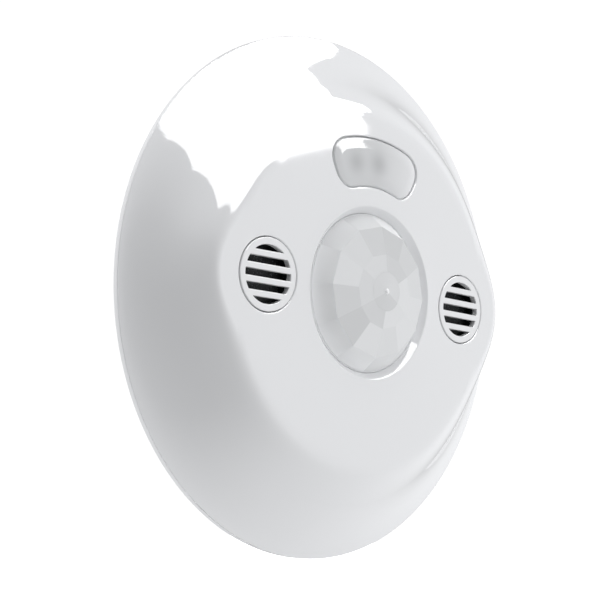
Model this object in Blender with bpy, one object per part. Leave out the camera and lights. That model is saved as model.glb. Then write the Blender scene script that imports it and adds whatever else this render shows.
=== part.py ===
"""Ceiling-mount occupancy sensor: round flared cover, faceted lens, two ultrasonic grilles and a board.

The sensor is laid out face up in sizes given in millimetres: +X to the right grille, +Y to the indicator
window, and +Z out of the ceiling, with Z = 0 on the rear mounting face. The empty "sensor_frame" carries
every piece and stands the sensor up, so that its face looks along -Y and the indicator window is uppermost.
Scene units are metres. Running this script in Blender 4.5 rebuilds the whole assembly.
"""

import math

import bmesh
import bpy
from mathutils import Matrix, Vector

MM = 0.001

# ---------------------------------------------------------------- driving dimensions, in millimetres
GAP = 0.3                    # working clearance between pieces that touch

# front cover
COVER_RADIUS = 57.15         # outside radius of the rim
RIM_BAND = 1.3               # height of the upright band round the rim
RIM_LIP = 2.55               # radial width of the flat rear edge
RIM_SLOPE = 0.35             # rise per unit of radius where the flare leaves the rim
COVER_WALL = 1.8             # wall thickness, square to the surface
CROWN_HEIGHT = 16.46         # mounting face to the middle of the front plateau
CROWN_CURVE = 800.0          # radius of the plateau's slight dome
FLARE_WIDTH = 16.15          # shoulder to rim
SHOULDER_MARGIN = 2.53       # least plateau left outside the grilles before the shoulder
SHOULDER_BLEND = 5.5         # depth over which that corner is rounded
POD_REACH = 4.2              # how far the shoulder swells outwards beside each grille
POD_HALF_ANGLE = 18.0        # degrees either side of the grille over which it swells
TONGUE_WIDTH = 8.0           # snap tongues that hold the cover to the base
TONGUE_THICKNESS = 1.4
TONGUE_BARB = 1.0            # how far the barb stands out of the tongue
TONGUE_BARB_HEIGHT = 1.2
TONGUE_ANGLES = (90.0, 210.0, 330.0)

# lens and its well
WELL_RADIUS = 18.43          # outer edge of the bevelled well
WELL_BEVEL = 1.33            # depth and width of the bevel
LENS_RISE = 4.4              # lens apex above the middle of the plateau
LENS_DOME = 42.0             # radius of the sphere that the facet corners lie on
LENS_FACETS = 12
LENS_DISC_RADIUS = 4.2       # corners of the middle disc
LENS_INNER_RADIUS = 8.0      # corners between the inner and the outer ring of facets
LENS_OUTER_RADIUS = 14.1     # corners between the outer ring and the skirt
LENS_SKIRT_FOOT = 1.4        # the skirt's foot below the middle of the plateau
LENS_WALL = 1.0
LENS_FLANGE = 3.3            # how far the flange reaches past the well's throat
NUB_RADIUS = 0.55
NUB_HEIGHT = 0.3

# lens retainer and its screws
RETAINER_THICKNESS = 1.2
RETAINER_RIM = 1.4           # how far the ring reaches past the lens flange
EAR_SPACE = 0.4              # lens flange to screw boss
EAR_RADIUS = 2.6
EAR_ANGLES = (35.0, 145.0, 215.0, 325.0)
BOSS_RADIUS = 2.2
RETAINER_SCREW_SHANK = 0.8
RETAINER_SCREW_HEAD = 2.0
RETAINER_HEAD_HEIGHT = 1.2

# grilles and screens
GRILLE_RADIUS = 7.55
GRILLE_OPENING = 6.1         # radius of the slotted field
GRILLE_PITCH = 2.75          # distance from slot to slot
GRILLE_SLOT = 1.5            # width of a slot
GRILLE_SLOTS = 5
SLAT_DEPTH = 1.2
GRILLE_FLANGE = 1.15         # how far the rear flange reaches past the cover's hole
GRILLE_FLANGE_THICKNESS = 0.7
GRILLE_SPACE = 0.72          # lens flange to grille flange
GRILLE_SEAT_GAP = 0.25       # grille flange to cover, at the flange's outer edge
SCREEN_THICKNESS = 0.4
SCREEN_RADIUS = 8.2

# indicator window
WINDOW_SPACE = 1.3           # lens flange to window flange
WINDOW_BAND = 10.5           # radial width of the window
WINDOW_HALF_ANGLE = 26.0
WINDOW_CORNER = 4.4
WINDOW_FLANGE = 1.2
WINDOW_FLANGE_THICKNESS = 0.7

# base plate
BASE_INSET = 4.6             # gap from the cover's rear edge in to the base plate
BASE_THICKNESS = 2.0
SLOT_CIRCLE = 44.45          # mounting screws of a round ceiling box, 88.9 mm apart
SLOT_WIDTH = 4.8
SLOT_LENGTH = 11.0
WIRE_OPENING_WIDTH = 26.0
WIRE_OPENING_HEIGHT = 8.0
WIRE_OPENING_CENTRE = -39.0
WIRE_OPENING_CORNER = 2.0
RIB_RADIUS = 32.0            # stiffening ring behind the board
RIB_WIDTH = 1.2
RIB_HEIGHT = 1.0
POST_INSET = 3.0             # post centres from the board's round edge
POST_ANGLE = 41.11           # degrees either side of the X axis
POST_RADIUS = 2.8
POST_FLOOR = 1.0             # bottom of the screw holes above the mounting face

# circuit board
BOARD_DEPTH = 9.86           # front of the board below the middle of the plateau
BOARD_THICKNESS = 1.2
BOARD_MARGIN = 1.48          # board left outside the transducer boots
BOARD_FLAT_MARGIN = 0.9      # board left outside the terminal block, along its flat edge
BOARD_SCREW_SHANK = 1.1
BOARD_SCREW_HEAD = 2.2
BOARD_HEAD_HEIGHT = 1.4

# detector, transducers, indicators
PIR_RADIUS = 4.1
PIR_FLANGE_RADIUS = 4.6
PIR_FLANGE_THICKNESS = 0.8
PIR_HEIGHT = 4.0
PIR_WINDOW = (4.2, 3.4, 0.5)
TRANSDUCER_RADIUS = 6.2
TRANSDUCER_MOUTH = 4.6       # radius of the opening in the can's front
TRANSDUCER_MOUTH_DEPTH = 0.9
BOOT_WALL = 1.4
BOOT_HEIGHT = 3.5
LED_RADIUS = 1.5
LED_COLLAR = 1.85
LED_HEIGHT = 5.4
LED_INSET = 0.15             # lamps from the window's middle line, towards the lens
LED_ANGLE = 13.0             # degrees either side of the window's middle
PHOTOCELL_RADIUS = 2.3
PHOTOCELL_HEIGHT = 4.4

# switches, dials and terminals
TRIMMER_SIZE = 6.6
TRIMMER_PITCH = 7.8
TRIMMER_ROW = -13.0
TRIMMER_HEIGHT = 2.9
DIAL_RADIUS = 2.3
DIAL_HEIGHT = 1.2
DIAL_SINK = 0.6              # depth of the dial's seat
DIAL_SLOT = 0.7
DIP_SIZE = (12.0, 8.0, 3.2)
DIP_CENTRE_Y = 13.8
DIP_WAYS = 4
DIP_PITCH = 2.54
DIP_SLIDER = (1.0, 1.5, 1.1)
DIP_TRAVEL = 1.8
DIP_SINK = 0.8               # depth of a slider's groove
TERMINAL_SIZE = (26.0, 8.0, 5.3)
TERMINAL_SPACE = 2.8         # lens retainer to the terminal block
TERMINAL_WAYS = 5
TERMINAL_PITCH = 5.0
WIRE_HOLE_RADIUS = 1.15
WIRE_HOLE_DEPTH = 4.0
WIRE_HOLE_LEVEL = 1.9        # wire hole above the terminal's foot
BUTTON_SIZE = (2.6, 3.0, 2.0)
BUTTON_PROUD = 0.6           # how far a release button stands out
BUTTON_TRAVEL = 0.5
BUTTON_SETBACK = -1.9        # button row from the middle of the terminal

# other parts on the board: name, x, y, size, height
CHIP = ("microcontroller", -13.6, 0.8, 9.0, 1.2)
RELAY = ("relay", 13.6, 0.0, (7.5, 12.5), 3.6)
CRYSTAL = ("crystal", -13.2, -6.6, (9.6, 3.6), 2.8)
CAPACITORS = (("supply_capacitor", 225.7, 3.2, 5.0), ("filter_capacitor", 314.3, 2.6, 4.6))  # degrees, radius
CAPACITOR_SPACE = 6.84       # retainer's edge to the capacitors' centres

# smoothness of round pieces
FINE, MEDIUM, COARSE, TINY = 56, 28, 16, 12

# ---------------------------------------------------------------- levels that follow from the sizes
BOARD_FRONT = CROWN_HEIGHT - BOARD_DEPTH
BOARD_BACK = BOARD_FRONT - BOARD_THICKNESS
SEAT = BOARD_FRONT + GAP     # foot of everything that stands on the board
BASE_RADIUS = COVER_RADIUS - RIM_LIP - BASE_INSET
WELL_THROAT = WELL_RADIUS - WELL_BEVEL
LENS_RADIUS = WELL_THROAT - GAP
FLANGE_RADIUS = WELL_THROAT + LENS_FLANGE
EAR_CIRCLE = FLANGE_RADIUS + EAR_SPACE + BOSS_RADIUS
WINDOW_INNER = FLANGE_RADIUS + WINDOW_SPACE + WINDOW_FLANGE
WINDOW_OUTER = WINDOW_INNER + WINDOW_BAND
WINDOW_MIDDLE = (WINDOW_INNER + WINDOW_OUTER) / 2
LED_CIRCLE = WINDOW_MIDDLE - LED_INSET
GRILLE_FLANGE_RADIUS = GRILLE_RADIUS + GAP + GRILLE_FLANGE
GRILLE_OFFSET = FLANGE_RADIUS + GRILLE_SPACE + GRILLE_FLANGE_RADIUS
SHOULDER_RADIUS = max(COVER_RADIUS - FLARE_WIDTH, GRILLE_OFFSET + GRILLE_RADIUS + SHOULDER_MARGIN)
BOARD_RADIUS = GRILLE_OFFSET + TRANSDUCER_RADIUS + GAP + BOOT_WALL + BOARD_MARGIN
RETAINER_RADIUS = FLANGE_RADIUS + RETAINER_RIM
TERMINAL_CENTRE_Y = -(RETAINER_RADIUS + TERMINAL_SPACE + TERMINAL_SIZE[1] / 2)
BOARD_FLAT = TERMINAL_CENTRE_Y - TERMINAL_SIZE[1] / 2 - BOARD_FLAT_MARGIN


def polar(radius, degrees):
    """Cartesian point of a radius and an angle in degrees."""
    angle = math.radians(degrees)
    return radius * math.cos(angle), radius * math.sin(angle)


def shoulder_radius(angle):
    """Radius of the corner between plateau and flare in the direction `angle`; it swells beside a grille."""
    off_axis = math.degrees(abs(math.asin(max(-1.0, min(1.0, math.sin(angle))))))
    return SHOULDER_RADIUS + POD_REACH * math.exp(-((off_axis / POD_HALF_ANGLE) ** 2))


def cover_height(radius, angle):
    """Height of the cover's outer face: the plateau and the flare, joined by a rounded shoulder."""
    plateau = CROWN_HEIGHT - radius**2 / (2 * CROWN_CURVE)
    corner = shoulder_radius(angle)
    reach = COVER_RADIUS - corner
    corner_height = CROWN_HEIGHT - corner**2 / (2 * CROWN_CURVE)
    bow = corner_height - RIM_BAND - RIM_SLOPE * reach
    inward = COVER_RADIUS - radius
    flare = RIM_BAND + RIM_SLOPE * inward + bow * (inward / reach) ** 2
    blend = max(SHOULDER_BLEND - abs(plateau - flare), 0.0) / SHOULDER_BLEND
    return min(plateau, flare) - blend**2 * SHOULDER_BLEND / 4


def cover_inside(radius, angle):
    """Height of the cover's inner face, one wall thickness below the outer one, square to the surface."""
    step = 0.05
    slope = (cover_height(radius + step, angle) - cover_height(radius - step, angle)) / (2 * step)
    return cover_height(radius, angle) - COVER_WALL * math.hypot(1.0, slope)


THROAT_INSIDE = cover_inside(WELL_THROAT, math.pi / 2)
FLANGE_FRONT = cover_inside(FLANGE_RADIUS, math.pi / 2) - GAP
FLANGE_BACK = FLANGE_FRONT - LENS_WALL
RETAINER_FRONT = FLANGE_BACK - GAP
RETAINER_BACK = RETAINER_FRONT - RETAINER_THICKNESS
GRILLE_FACE = cover_height(GRILLE_OFFSET, 0.0)
GRILLE_TILT = math.asin(GRILLE_OFFSET / CROWN_CURVE)


def grille_seat():
    """Depth of the grille flange's front below the grille's face, clear of the cover's inner face."""
    drops = []
    for degrees in range(0, 360, 15):
        x, y = polar(GRILLE_FLANGE_RADIUS, degrees)
        across = GRILLE_OFFSET + x
        inside = cover_inside(math.hypot(across, y), math.atan2(y, across))
        drops.append(GRILLE_FACE - x * math.tan(GRILLE_TILT) - inside)
    return max(drops) + GRILLE_SEAT_GAP


GRILLE_SEAT = grille_seat()
GRILLE_DEPTH = GRILLE_SEAT + GRILLE_FLANGE_THICKNESS
SCREEN_BACK = GRILLE_DEPTH + GAP + SCREEN_THICKNESS
TRANSDUCER_FRONT = GRILLE_FACE - SCREEN_BACK - SCREEN_RADIUS * math.sin(GRILLE_TILT) - GAP


# ---------------------------------------------------------------- mesh helpers
def clear_scene():
    """Remove whatever the scene holds."""
    for item in list(bpy.data.objects):
        bpy.data.objects.remove(item, do_unlink=True)


def make_material(name, colour, roughness, metallic=0.0, alpha=1.0):
    """A Principled material with a plain colour."""
    material = bpy.data.materials.new(name)
    material.use_nodes = True
    shader = material.node_tree.nodes["Principled BSDF"]
    shader.inputs["Base Color"].default_value = (*colour, 1.0)
    shader.inputs["Roughness"].default_value = roughness
    shader.inputs["Metallic"].default_value = metallic
    shader.inputs["Alpha"].default_value = alpha
    return material


def finish_mesh(bm, name):
    """Turn a bmesh into a mesh with outward faces, from millimetres to metres."""
    bmesh.ops.recalc_face_normals(bm, faces=bm.faces)
    bmesh.ops.scale(bm, vec=Vector((MM, MM, MM)), verts=bm.verts)
    mesh = bpy.data.meshes.new(name)
    bm.to_mesh(mesh)
    bm.free()
    return mesh


def place(name, mesh, material, location=(0.0, 0.0, 0.0), rotation=(0.0, 0.0, 0.0), smooth=True):
    """Make a named object from a mesh and hang it on the sensor frame; the location is in millimetres."""
    obj = bpy.data.objects.new(name, mesh)
    bpy.context.scene.collection.objects.link(obj)
    obj.parent = FRAME
    obj.location = Vector(location) * MM
    obj.rotation_euler = rotation
    if material is not None:
        obj.data.materials.append(material)
    if smooth:
        mesh.shade_smooth()
        mesh.set_sharp_from_angle(angle=math.radians(32))
    return obj


def shape_with(target, tool_mesh, operation, location=(0.0, 0.0, 0.0), rotation=(0.0, 0.0, 0.0)):
    """Cut a mesh out of an object, or join it on, with a Boolean modifier and a hidden tool object."""
    tool = place(f"{target.name}_tool_{len(target.modifiers)}", tool_mesh, None, location, rotation, False)
    tool.hide_render = True
    tool.display_type = "WIRE"
    modifier = target.modifiers.new(operation.title(), "BOOLEAN")
    modifier.operation = operation
    modifier.solver = "EXACT"
    modifier.object = tool
    return target


def circle(radius, count, centre=(0.0, 0.0), start=0.0):
    """Points of a circle, anticlockwise."""
    turn = 2 * math.pi / count
    return [(centre[0] + radius * math.cos(start + i * turn), centre[1] + radius * math.sin(start + i * turn))
            for i in range(count)]


def rounded_rectangle(width, height, corner, steps=4):
    """Points of a rectangle with round corners, centred on the origin, anticlockwise."""
    points = []
    for index, (sx, sy) in enumerate(((1, 1), (-1, 1), (-1, -1), (1, -1))):
        cx, cy = sx * (width / 2 - corner), sy * (height / 2 - corner)
        for step in range(steps + 1):
            angle = (index + step / steps) * math.pi / 2
            points.append((cx + corner * math.cos(angle), cy + corner * math.sin(angle)))
    return points


def prism_mesh(name, outlines):
    """A solid, or several separate solids for one tool, each between two heights: (outline, low, high)."""
    bm = bmesh.new()
    for outline, low, high in outlines:
        low_ring = [bm.verts.new((x, y, low(x, y) if callable(low) else low)) for x, y in outline]
        high_ring = [bm.verts.new((x, y, high(x, y) if callable(high) else high)) for x, y in outline]
        close_rings(bm, low_ring, high_ring)
        bm.faces.new(reversed(low_ring))
        bm.faces.new(high_ring)
    return finish_mesh(bm, name)


def close_rings(bm, first, second):
    """Quads between two rings with the same number of points."""
    count = len(first)
    for i in range(count):
        j = (i + 1) % count
        bm.faces.new((first[i], first[j], second[j], second[i]))


def turned_mesh(name, profile, count):
    """A solid turned about Z from (radius, height) points; a point at radius 0 closes an end."""
    bm = bmesh.new()
    rings = []
    for radius, height in profile:
        if radius == 0.0:
            rings.append([bm.verts.new((0.0, 0.0, height))])
        else:
            rings.append([bm.verts.new((x, y, height)) for x, y in circle(radius, count)])
    for first, second in zip(rings, rings[1:] + rings[:1]):
        if len(first) == len(second) == 1:
            continue
        if len(first) == 1 or len(second) == 1:
            tip, ring = (first[0], second) if len(first) == 1 else (second[0], first)
            for i in range(count):
                bm.faces.new((tip, ring[i], ring[(i + 1) % count]))
        else:
            close_rings(bm, first, second)
    return finish_mesh(bm, name)


def cylinder_mesh(name, radius, low, high, count=MEDIUM):
    """A plain cylinder between two heights."""
    return turned_mesh(name, [(0.0, low), (radius, low), (radius, high), (0.0, high)], count)


def ring_mesh(name, inner, outer, low, high, count=MEDIUM):
    """A flat ring between two heights."""
    return turned_mesh(name, [(inner, low), (outer, low), (outer, high), (inner, high)], count)


def block_mesh(name, size, low, high, corner=0.0, steps=3):
    """A block standing on `low`, with round upright edges where `corner` is above zero."""
    width, depth = size
    if corner:
        outline = rounded_rectangle(width, depth, corner, steps)
    else:
        outline = [(width / 2, depth / 2), (-width / 2, depth / 2), (-width / 2, -depth / 2),
                   (width / 2, -depth / 2)]
    return prism_mesh(name, [(outline, low, high)])


# ---------------------------------------------------------------- front cover
def cover_section(angle):
    """Closed section of the cover in one direction, from the well over the face and back inside."""
    corner = shoulder_radius(angle)
    lip = COVER_RADIUS - RIM_LIP
    outer = [WELL_RADIUS + (corner - WELL_RADIUS) * (1 - (1 - i / 4) ** 1.9) for i in range(5)]
    outer += [corner + (COVER_RADIUS - corner) * (i / 7) ** 1.2 for i in range(1, 8)]
    inner = [lip + (corner - lip) * (i / 4) for i in range(5)]
    inner += [corner + (WELL_THROAT - corner) * (i / 3) ** 1.9 for i in range(1, 4)]
    section = [(radius, cover_height(radius, angle)) for radius in outer]
    section += [(COVER_RADIUS, 0.0), (lip, 0.0)]
    section += [(radius, cover_inside(radius, angle)) for radius in inner]
    section.append((WELL_THROAT, cover_height(WELL_RADIUS, angle) - WELL_BEVEL))
    return section


def cover_mesh():
    """The flared shell of the cover, closed round its well and its rear edge."""
    bm = bmesh.new()
    columns = []
    for i in range(FINE):
        angle = 2 * math.pi * i / FINE
        columns.append([bm.verts.new((r * math.cos(angle), r * math.sin(angle), z))
                        for r, z in cover_section(angle)])
    for first, second in zip(columns, columns[1:] + columns[:1]):
        close_rings(bm, first, second)
    return finish_mesh(bm, "front_cover")


def tongue_placing():
    """Radius of the inner side of the snap tongues, which stand clear inside the base's slots."""
    return BASE_RADIUS - 1.1 - GAP - TONGUE_BARB - TONGUE_THICKNESS


def tongue_mesh(angle):
    """A snap tongue with an outward barb at its free end, reaching up into the cover's wall."""
    inner = tongue_placing()
    outer = inner + TONGUE_THICKNESS
    top = cover_height(outer, math.radians(angle)) - 0.4
    foot, barb_top = GAP, GAP + TONGUE_BARB_HEIGHT
    section = [(inner, foot), (outer, foot), (outer + TONGUE_BARB, barb_top - TONGUE_BARB_HEIGHT / 2),
               (outer + TONGUE_BARB, barb_top), (outer, barb_top), (outer, top), (inner, top)]
    bm = bmesh.new()
    sides = [[bm.verts.new((r, side * TONGUE_WIDTH / 2, z)) for r, z in section] for side in (-1, 1)]
    close_rings(bm, *sides)
    bm.faces.new(reversed(sides[0]))
    bm.faces.new(sides[1])
    bmesh.ops.rotate(bm, cent=(0, 0, 0), matrix=Matrix.Rotation(math.radians(angle), 3, "Z"), verts=bm.verts)
    return finish_mesh(bm, "tongue")


def window_outline(grow=0.0):
    """Outline of the arc-shaped window about +Y, grown outwards by `grow`."""
    width = 2 * math.radians(WINDOW_HALF_ANGLE) * WINDOW_MIDDLE + 2 * grow
    flat = rounded_rectangle(width, WINDOW_BAND + 2 * grow, WINDOW_CORNER + grow, 4)
    dense = []
    for (x0, y0), (x1, y1) in zip(flat, flat[1:] + flat[:1]):
        pieces = max(1, round(abs(x1 - x0) / 3.0))
        dense += [(x0 + (x1 - x0) * i / pieces, y0 + (y1 - y0) * i / pieces) for i in range(pieces)]
    polar_points = [(WINDOW_MIDDLE + y, x / WINDOW_MIDDLE) for x, y in dense]
    return [(radius * math.sin(turn), radius * math.cos(turn)) for radius, turn in polar_points]


def build_cover(materials):
    """The cover with its openings, its snap tongues and the bosses for the lens retainer."""
    cover = place("front_cover", cover_mesh(), materials["cover"])
    through = CROWN_HEIGHT + 2.0
    window_cut = prism_mesh("window_cut", [(window_outline(GAP), CROWN_HEIGHT - 6.0, through)])
    shape_with(cover, window_cut, "DIFFERENCE")
    for side in (-1, 1):
        hole = cylinder_mesh("grille_cut", GRILLE_RADIUS + GAP, -6.0, 2.0)
        shape_with(cover, hole, "DIFFERENCE", (side * GRILLE_OFFSET, 0.0, GRILLE_FACE),
                   (0.0, side * GRILLE_TILT, 0.0))
    for angle in TONGUE_ANGLES:
        shape_with(cover, tongue_mesh(angle), "UNION")
    for angle in EAR_ANGLES:
        x, y = polar(EAR_CIRCLE, angle)
        boss_back = RETAINER_FRONT + GAP
        boss_front = cover_height(EAR_CIRCLE, math.radians(angle)) - COVER_WALL / 2
        boss = turned_mesh("boss", [(RETAINER_SCREW_SHANK + GAP, boss_back), (BOSS_RADIUS, boss_back),
                                    (BOSS_RADIUS, boss_front), (RETAINER_SCREW_SHANK + GAP, boss_front)],
                           TINY)
        shape_with(cover, boss, "UNION", (x, y, 0.0))
    return cover


# ---------------------------------------------------------------- lens, retainer, window, grilles
def polygon_ring(radius, height, corners, count):
    """`count` points along a polygon's edges, with its first corner at 0 degrees."""
    points = []
    per_edge = count // corners
    for i in range(corners):
        x0, y0 = polar(radius, i * 360 / corners)
        x1, y1 = polar(radius, (i + 1) * 360 / corners)
        points += [(x0 + (x1 - x0) * k / per_edge, y0 + (y1 - y0) * k / per_edge, height)
                   for k in range(per_edge)]
    return points


def dome_height(radius):
    """Height of the facet corners, which lie on a sphere."""
    apex = CROWN_HEIGHT + LENS_RISE
    return apex - LENS_DOME + math.sqrt(LENS_DOME**2 - radius**2)


def lens_mesh():
    """The faceted dome: middle disc, two rings of facets, skirt, round neck and rear flange, open behind."""
    count = 2 * LENS_FACETS
    foot = CROWN_HEIGHT - LENS_SKIRT_FOOT
    facet_rings = [(LENS_DISC_RADIUS, dome_height(LENS_DISC_RADIUS)),
                   (LENS_INNER_RADIUS, dome_height(LENS_INNER_RADIUS)),
                   (LENS_OUTER_RADIUS, dome_height(LENS_OUTER_RADIUS))]
    round_rings = [(LENS_RADIUS, foot), (LENS_RADIUS, FLANGE_FRONT), (FLANGE_RADIUS, FLANGE_FRONT),
                   (FLANGE_RADIUS, FLANGE_BACK), (LENS_RADIUS - LENS_WALL, FLANGE_BACK),
                   (LENS_RADIUS - LENS_WALL, foot - LENS_WALL)]
    bm = bmesh.new()
    nub_foot = dome_height(NUB_RADIUS)
    nub_top = nub_foot + NUB_HEIGHT
    rings = [[bm.verts.new((x, y, nub_top)) for x, y in circle(NUB_RADIUS * 0.6, count)],
             [bm.verts.new((x, y, nub_foot)) for x, y in circle(NUB_RADIUS, count)]]
    rings += [[bm.verts.new(p) for p in polygon_ring(r, z, LENS_FACETS, count)] for r, z in facet_rings]
    rings += [[bm.verts.new((x, y, z)) for x, y in circle(r, count)] for r, z in round_rings]
    rings += [[bm.verts.new(p) for p in polygon_ring(r - LENS_WALL / 2, z - LENS_WALL, LENS_FACETS, count)]
              for r, z in reversed(facet_rings)]
    for first, second in zip(rings, rings[1:]):
        close_rings(bm, first, second)
    bm.faces.new(rings[0])
    bm.faces.new(rings[-1])
    return finish_mesh(bm, "fresnel_lens")


def build_lens(materials):
    """The lens, the ring that clamps it and that ring's screws."""
    place("fresnel_lens", lens_mesh(), materials["lens"], smooth=False)
    ring = ring_mesh("lens_retainer", LENS_RADIUS, RETAINER_RADIUS, RETAINER_BACK,
                     RETAINER_FRONT, MEDIUM + TINY)
    retainer = place("lens_retainer", ring, materials["inner_plastic"])
    inset = 0.02             # the ears stop just inside the ring's faces
    for angle in EAR_ANGLES:
        ear = cylinder_mesh("ear", EAR_RADIUS, RETAINER_BACK + inset, RETAINER_FRONT - inset, COARSE)
        shape_with(retainer, ear, "UNION", (*polar(EAR_CIRCLE, angle), 0.0))
    length = cover_inside(EAR_CIRCLE + RETAINER_SCREW_SHANK, math.pi / 2) - RETAINER_BACK
    for number, angle in enumerate(EAR_ANGLES, start=1):
        hole = cylinder_mesh("hole", RETAINER_SCREW_SHANK + GAP, RETAINER_BACK - 1, RETAINER_FRONT + 1, TINY)
        shape_with(retainer, hole, "DIFFERENCE", (*polar(EAR_CIRCLE, angle), 0.0))
        screw = screw_mesh(RETAINER_SCREW_HEAD, RETAINER_HEAD_HEIGHT, RETAINER_SCREW_SHANK, length)
        place(f"retainer_screw_{number}", screw, materials["steel"],
              (*polar(EAR_CIRCLE, angle), RETAINER_BACK - GAP))


def screw_mesh(head, head_height, shank, length):
    """A pan-head screw with its shank along +Z and the underside of its head at Z = 0."""
    socket, socket_depth = head * 0.42, head_height * 0.5
    profile = [(0.0, length), (shank, length), (shank, 0.0), (head, 0.0), (head, -head_height * 0.6),
               (head * 0.82, -head_height), (socket, -head_height), (socket, -head_height + socket_depth),
               (0.0, -head_height + socket_depth)]
    return turned_mesh("screw", profile, TINY)


def build_window(materials):
    """The translucent arc window, flush with the plateau, with a flange behind the cover."""
    def face(x, y):
        return cover_height(math.hypot(x, y), math.pi / 2)

    def flange_front(x, y):
        return face(x, y) - COVER_WALL - GAP

    pane = prism_mesh("indicator_window", [(window_outline(), lambda x, y: flange_front(x, y) - 0.2, face)])
    window = place("indicator_window", pane, materials["window"])
    rear = prism_mesh("flange", [(window_outline(WINDOW_FLANGE),
                                  lambda x, y: flange_front(x, y) - WINDOW_FLANGE_THICKNESS, flange_front)])
    shape_with(window, rear, "UNION")


def slot_outlines():
    """Outlines of the grille's slots: straight sides, ends rounded by the field's circle."""
    outlines = []
    for i in range(GRILLE_SLOTS):
        middle = (i - (GRILLE_SLOTS - 1) / 2) * GRILLE_PITCH
        low, high = middle - GRILLE_SLOT / 2, middle + GRILLE_SLOT / 2
        low, high = max(low, -GRILLE_OPENING * 0.995), min(high, GRILLE_OPENING * 0.995)
        start, end = math.asin(low / GRILLE_OPENING), math.asin(high / GRILLE_OPENING)
        steps = max(3, round(abs(end - start) / 0.12))
        right = [(GRILLE_OPENING * math.cos(start + (end - start) * k / steps),
                  GRILLE_OPENING * math.sin(start + (end - start) * k / steps)) for k in range(steps + 1)]
        outlines.append(right + [(-x, y) for x, y in reversed(right)])
    return outlines


def build_grille(side_name, side, materials):
    """One grille with its slats, and the dark screen behind it; local Z = 0 is the grille's face."""
    spot = (side * GRILLE_OFFSET, 0.0, GRILLE_FACE)
    tilt = (0.0, side * GRILLE_TILT, 0.0)
    body = turned_mesh("grille", [(0.0, -GRILLE_DEPTH), (GRILLE_FLANGE_RADIUS, -GRILLE_DEPTH),
                                  (GRILLE_FLANGE_RADIUS, -GRILLE_SEAT), (GRILLE_RADIUS, -GRILLE_SEAT),
                                  (GRILLE_RADIUS, 0.0), (0.0, 0.0)], MEDIUM)
    grille = place(f"{side_name}_grille", body, materials["cover"], spot, tilt)
    throat = cylinder_mesh("throat", GRILLE_OPENING, -GRILLE_DEPTH - 1.0, -SLAT_DEPTH)
    shape_with(grille, throat, "DIFFERENCE", spot, tilt)
    slots = prism_mesh("slots", [(outline, -SLAT_DEPTH - 0.5, 1.0) for outline in slot_outlines()])
    shape_with(grille, slots, "DIFFERENCE", spot, tilt)
    screen = cylinder_mesh("screen", SCREEN_RADIUS, -SCREEN_BACK, -SCREEN_BACK + SCREEN_THICKNESS)
    place(f"{side_name}_screen", screen, materials["screen"], spot, tilt)


# ---------------------------------------------------------------- base plate
def slot_outline(grow=0.0):
    """Outline of a mounting slot, long along Y."""
    return rounded_rectangle(SLOT_WIDTH + 2 * grow, SLOT_LENGTH + 2 * grow, SLOT_WIDTH / 2 + grow - 0.01, 5)


def post_places():
    """Centres of the four posts under the board."""
    x, y = polar(BOARD_RADIUS - POST_INSET, POST_ANGLE)
    return [(sx * x, sy * y) for sy in (1, -1) for sx in (-1, 1)]


def build_base(materials):
    """The plate that screws to the ceiling box, with its posts, stiffening ring and openings."""
    base = place("base_plate", cylinder_mesh("base_plate", BASE_RADIUS, 0.0, BASE_THICKNESS, FINE),
                 materials["inner_plastic"])
    inside = BASE_THICKNESS / 2
    rib = ring_mesh("rib", RIB_RADIUS - RIB_WIDTH / 2, RIB_RADIUS + RIB_WIDTH / 2, inside,
                    min(BASE_THICKNESS + RIB_HEIGHT, BOARD_BACK - GAP), MEDIUM + TINY)
    shape_with(base, rib, "UNION")
    for x, y in post_places():
        post = cylinder_mesh("post", POST_RADIUS, inside, BOARD_BACK - GAP, COARSE)
        shape_with(base, post, "UNION", (x, y, 0.0))
    opening = rounded_rectangle(WIRE_OPENING_WIDTH, WIRE_OPENING_HEIGHT, WIRE_OPENING_CORNER)
    shape_with(base, prism_mesh("opening", [(opening, -1.0, BASE_THICKNESS + 1.0)]), "DIFFERENCE",
               (0.0, WIRE_OPENING_CENTRE, 0.0))
    for side in (-1, 1):
        slot = prism_mesh("slot", [(slot_outline(), -1.0, BASE_THICKNESS + 1.0)])
        shape_with(base, slot, "DIFFERENCE", (side * SLOT_CIRCLE, 0.0, 0.0))
    tongue_depth = TONGUE_THICKNESS + TONGUE_BARB + 2 * GAP
    tongue_middle = tongue_placing() - GAP + tongue_depth / 2
    for angle in TONGUE_ANGLES:
        hole = block_mesh("tongue_hole", (tongue_depth, TONGUE_WIDTH + 2 * GAP), -1.0, BASE_THICKNESS + 1.0)
        shape_with(base, hole, "DIFFERENCE", (*polar(tongue_middle, angle), 0.0),
                   (0.0, 0.0, math.radians(angle)))
    for x, y in post_places():
        hole = cylinder_mesh("pilot", BOARD_SCREW_SHANK + GAP, POST_FLOOR, BOARD_BACK + 1.0, TINY)
        shape_with(base, hole, "DIFFERENCE", (x, y, 0.0))
    return base


# ---------------------------------------------------------------- circuit board and what stands on it
def board_outline():
    """A circle with one flat edge."""
    start = math.asin(BOARD_FLAT / BOARD_RADIUS)
    end = math.pi - start
    return [(BOARD_RADIUS * math.cos(start + (end - start) * i / FINE),
             BOARD_RADIUS * math.sin(start + (end - start) * i / FINE)) for i in range(FINE + 1)]


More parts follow.
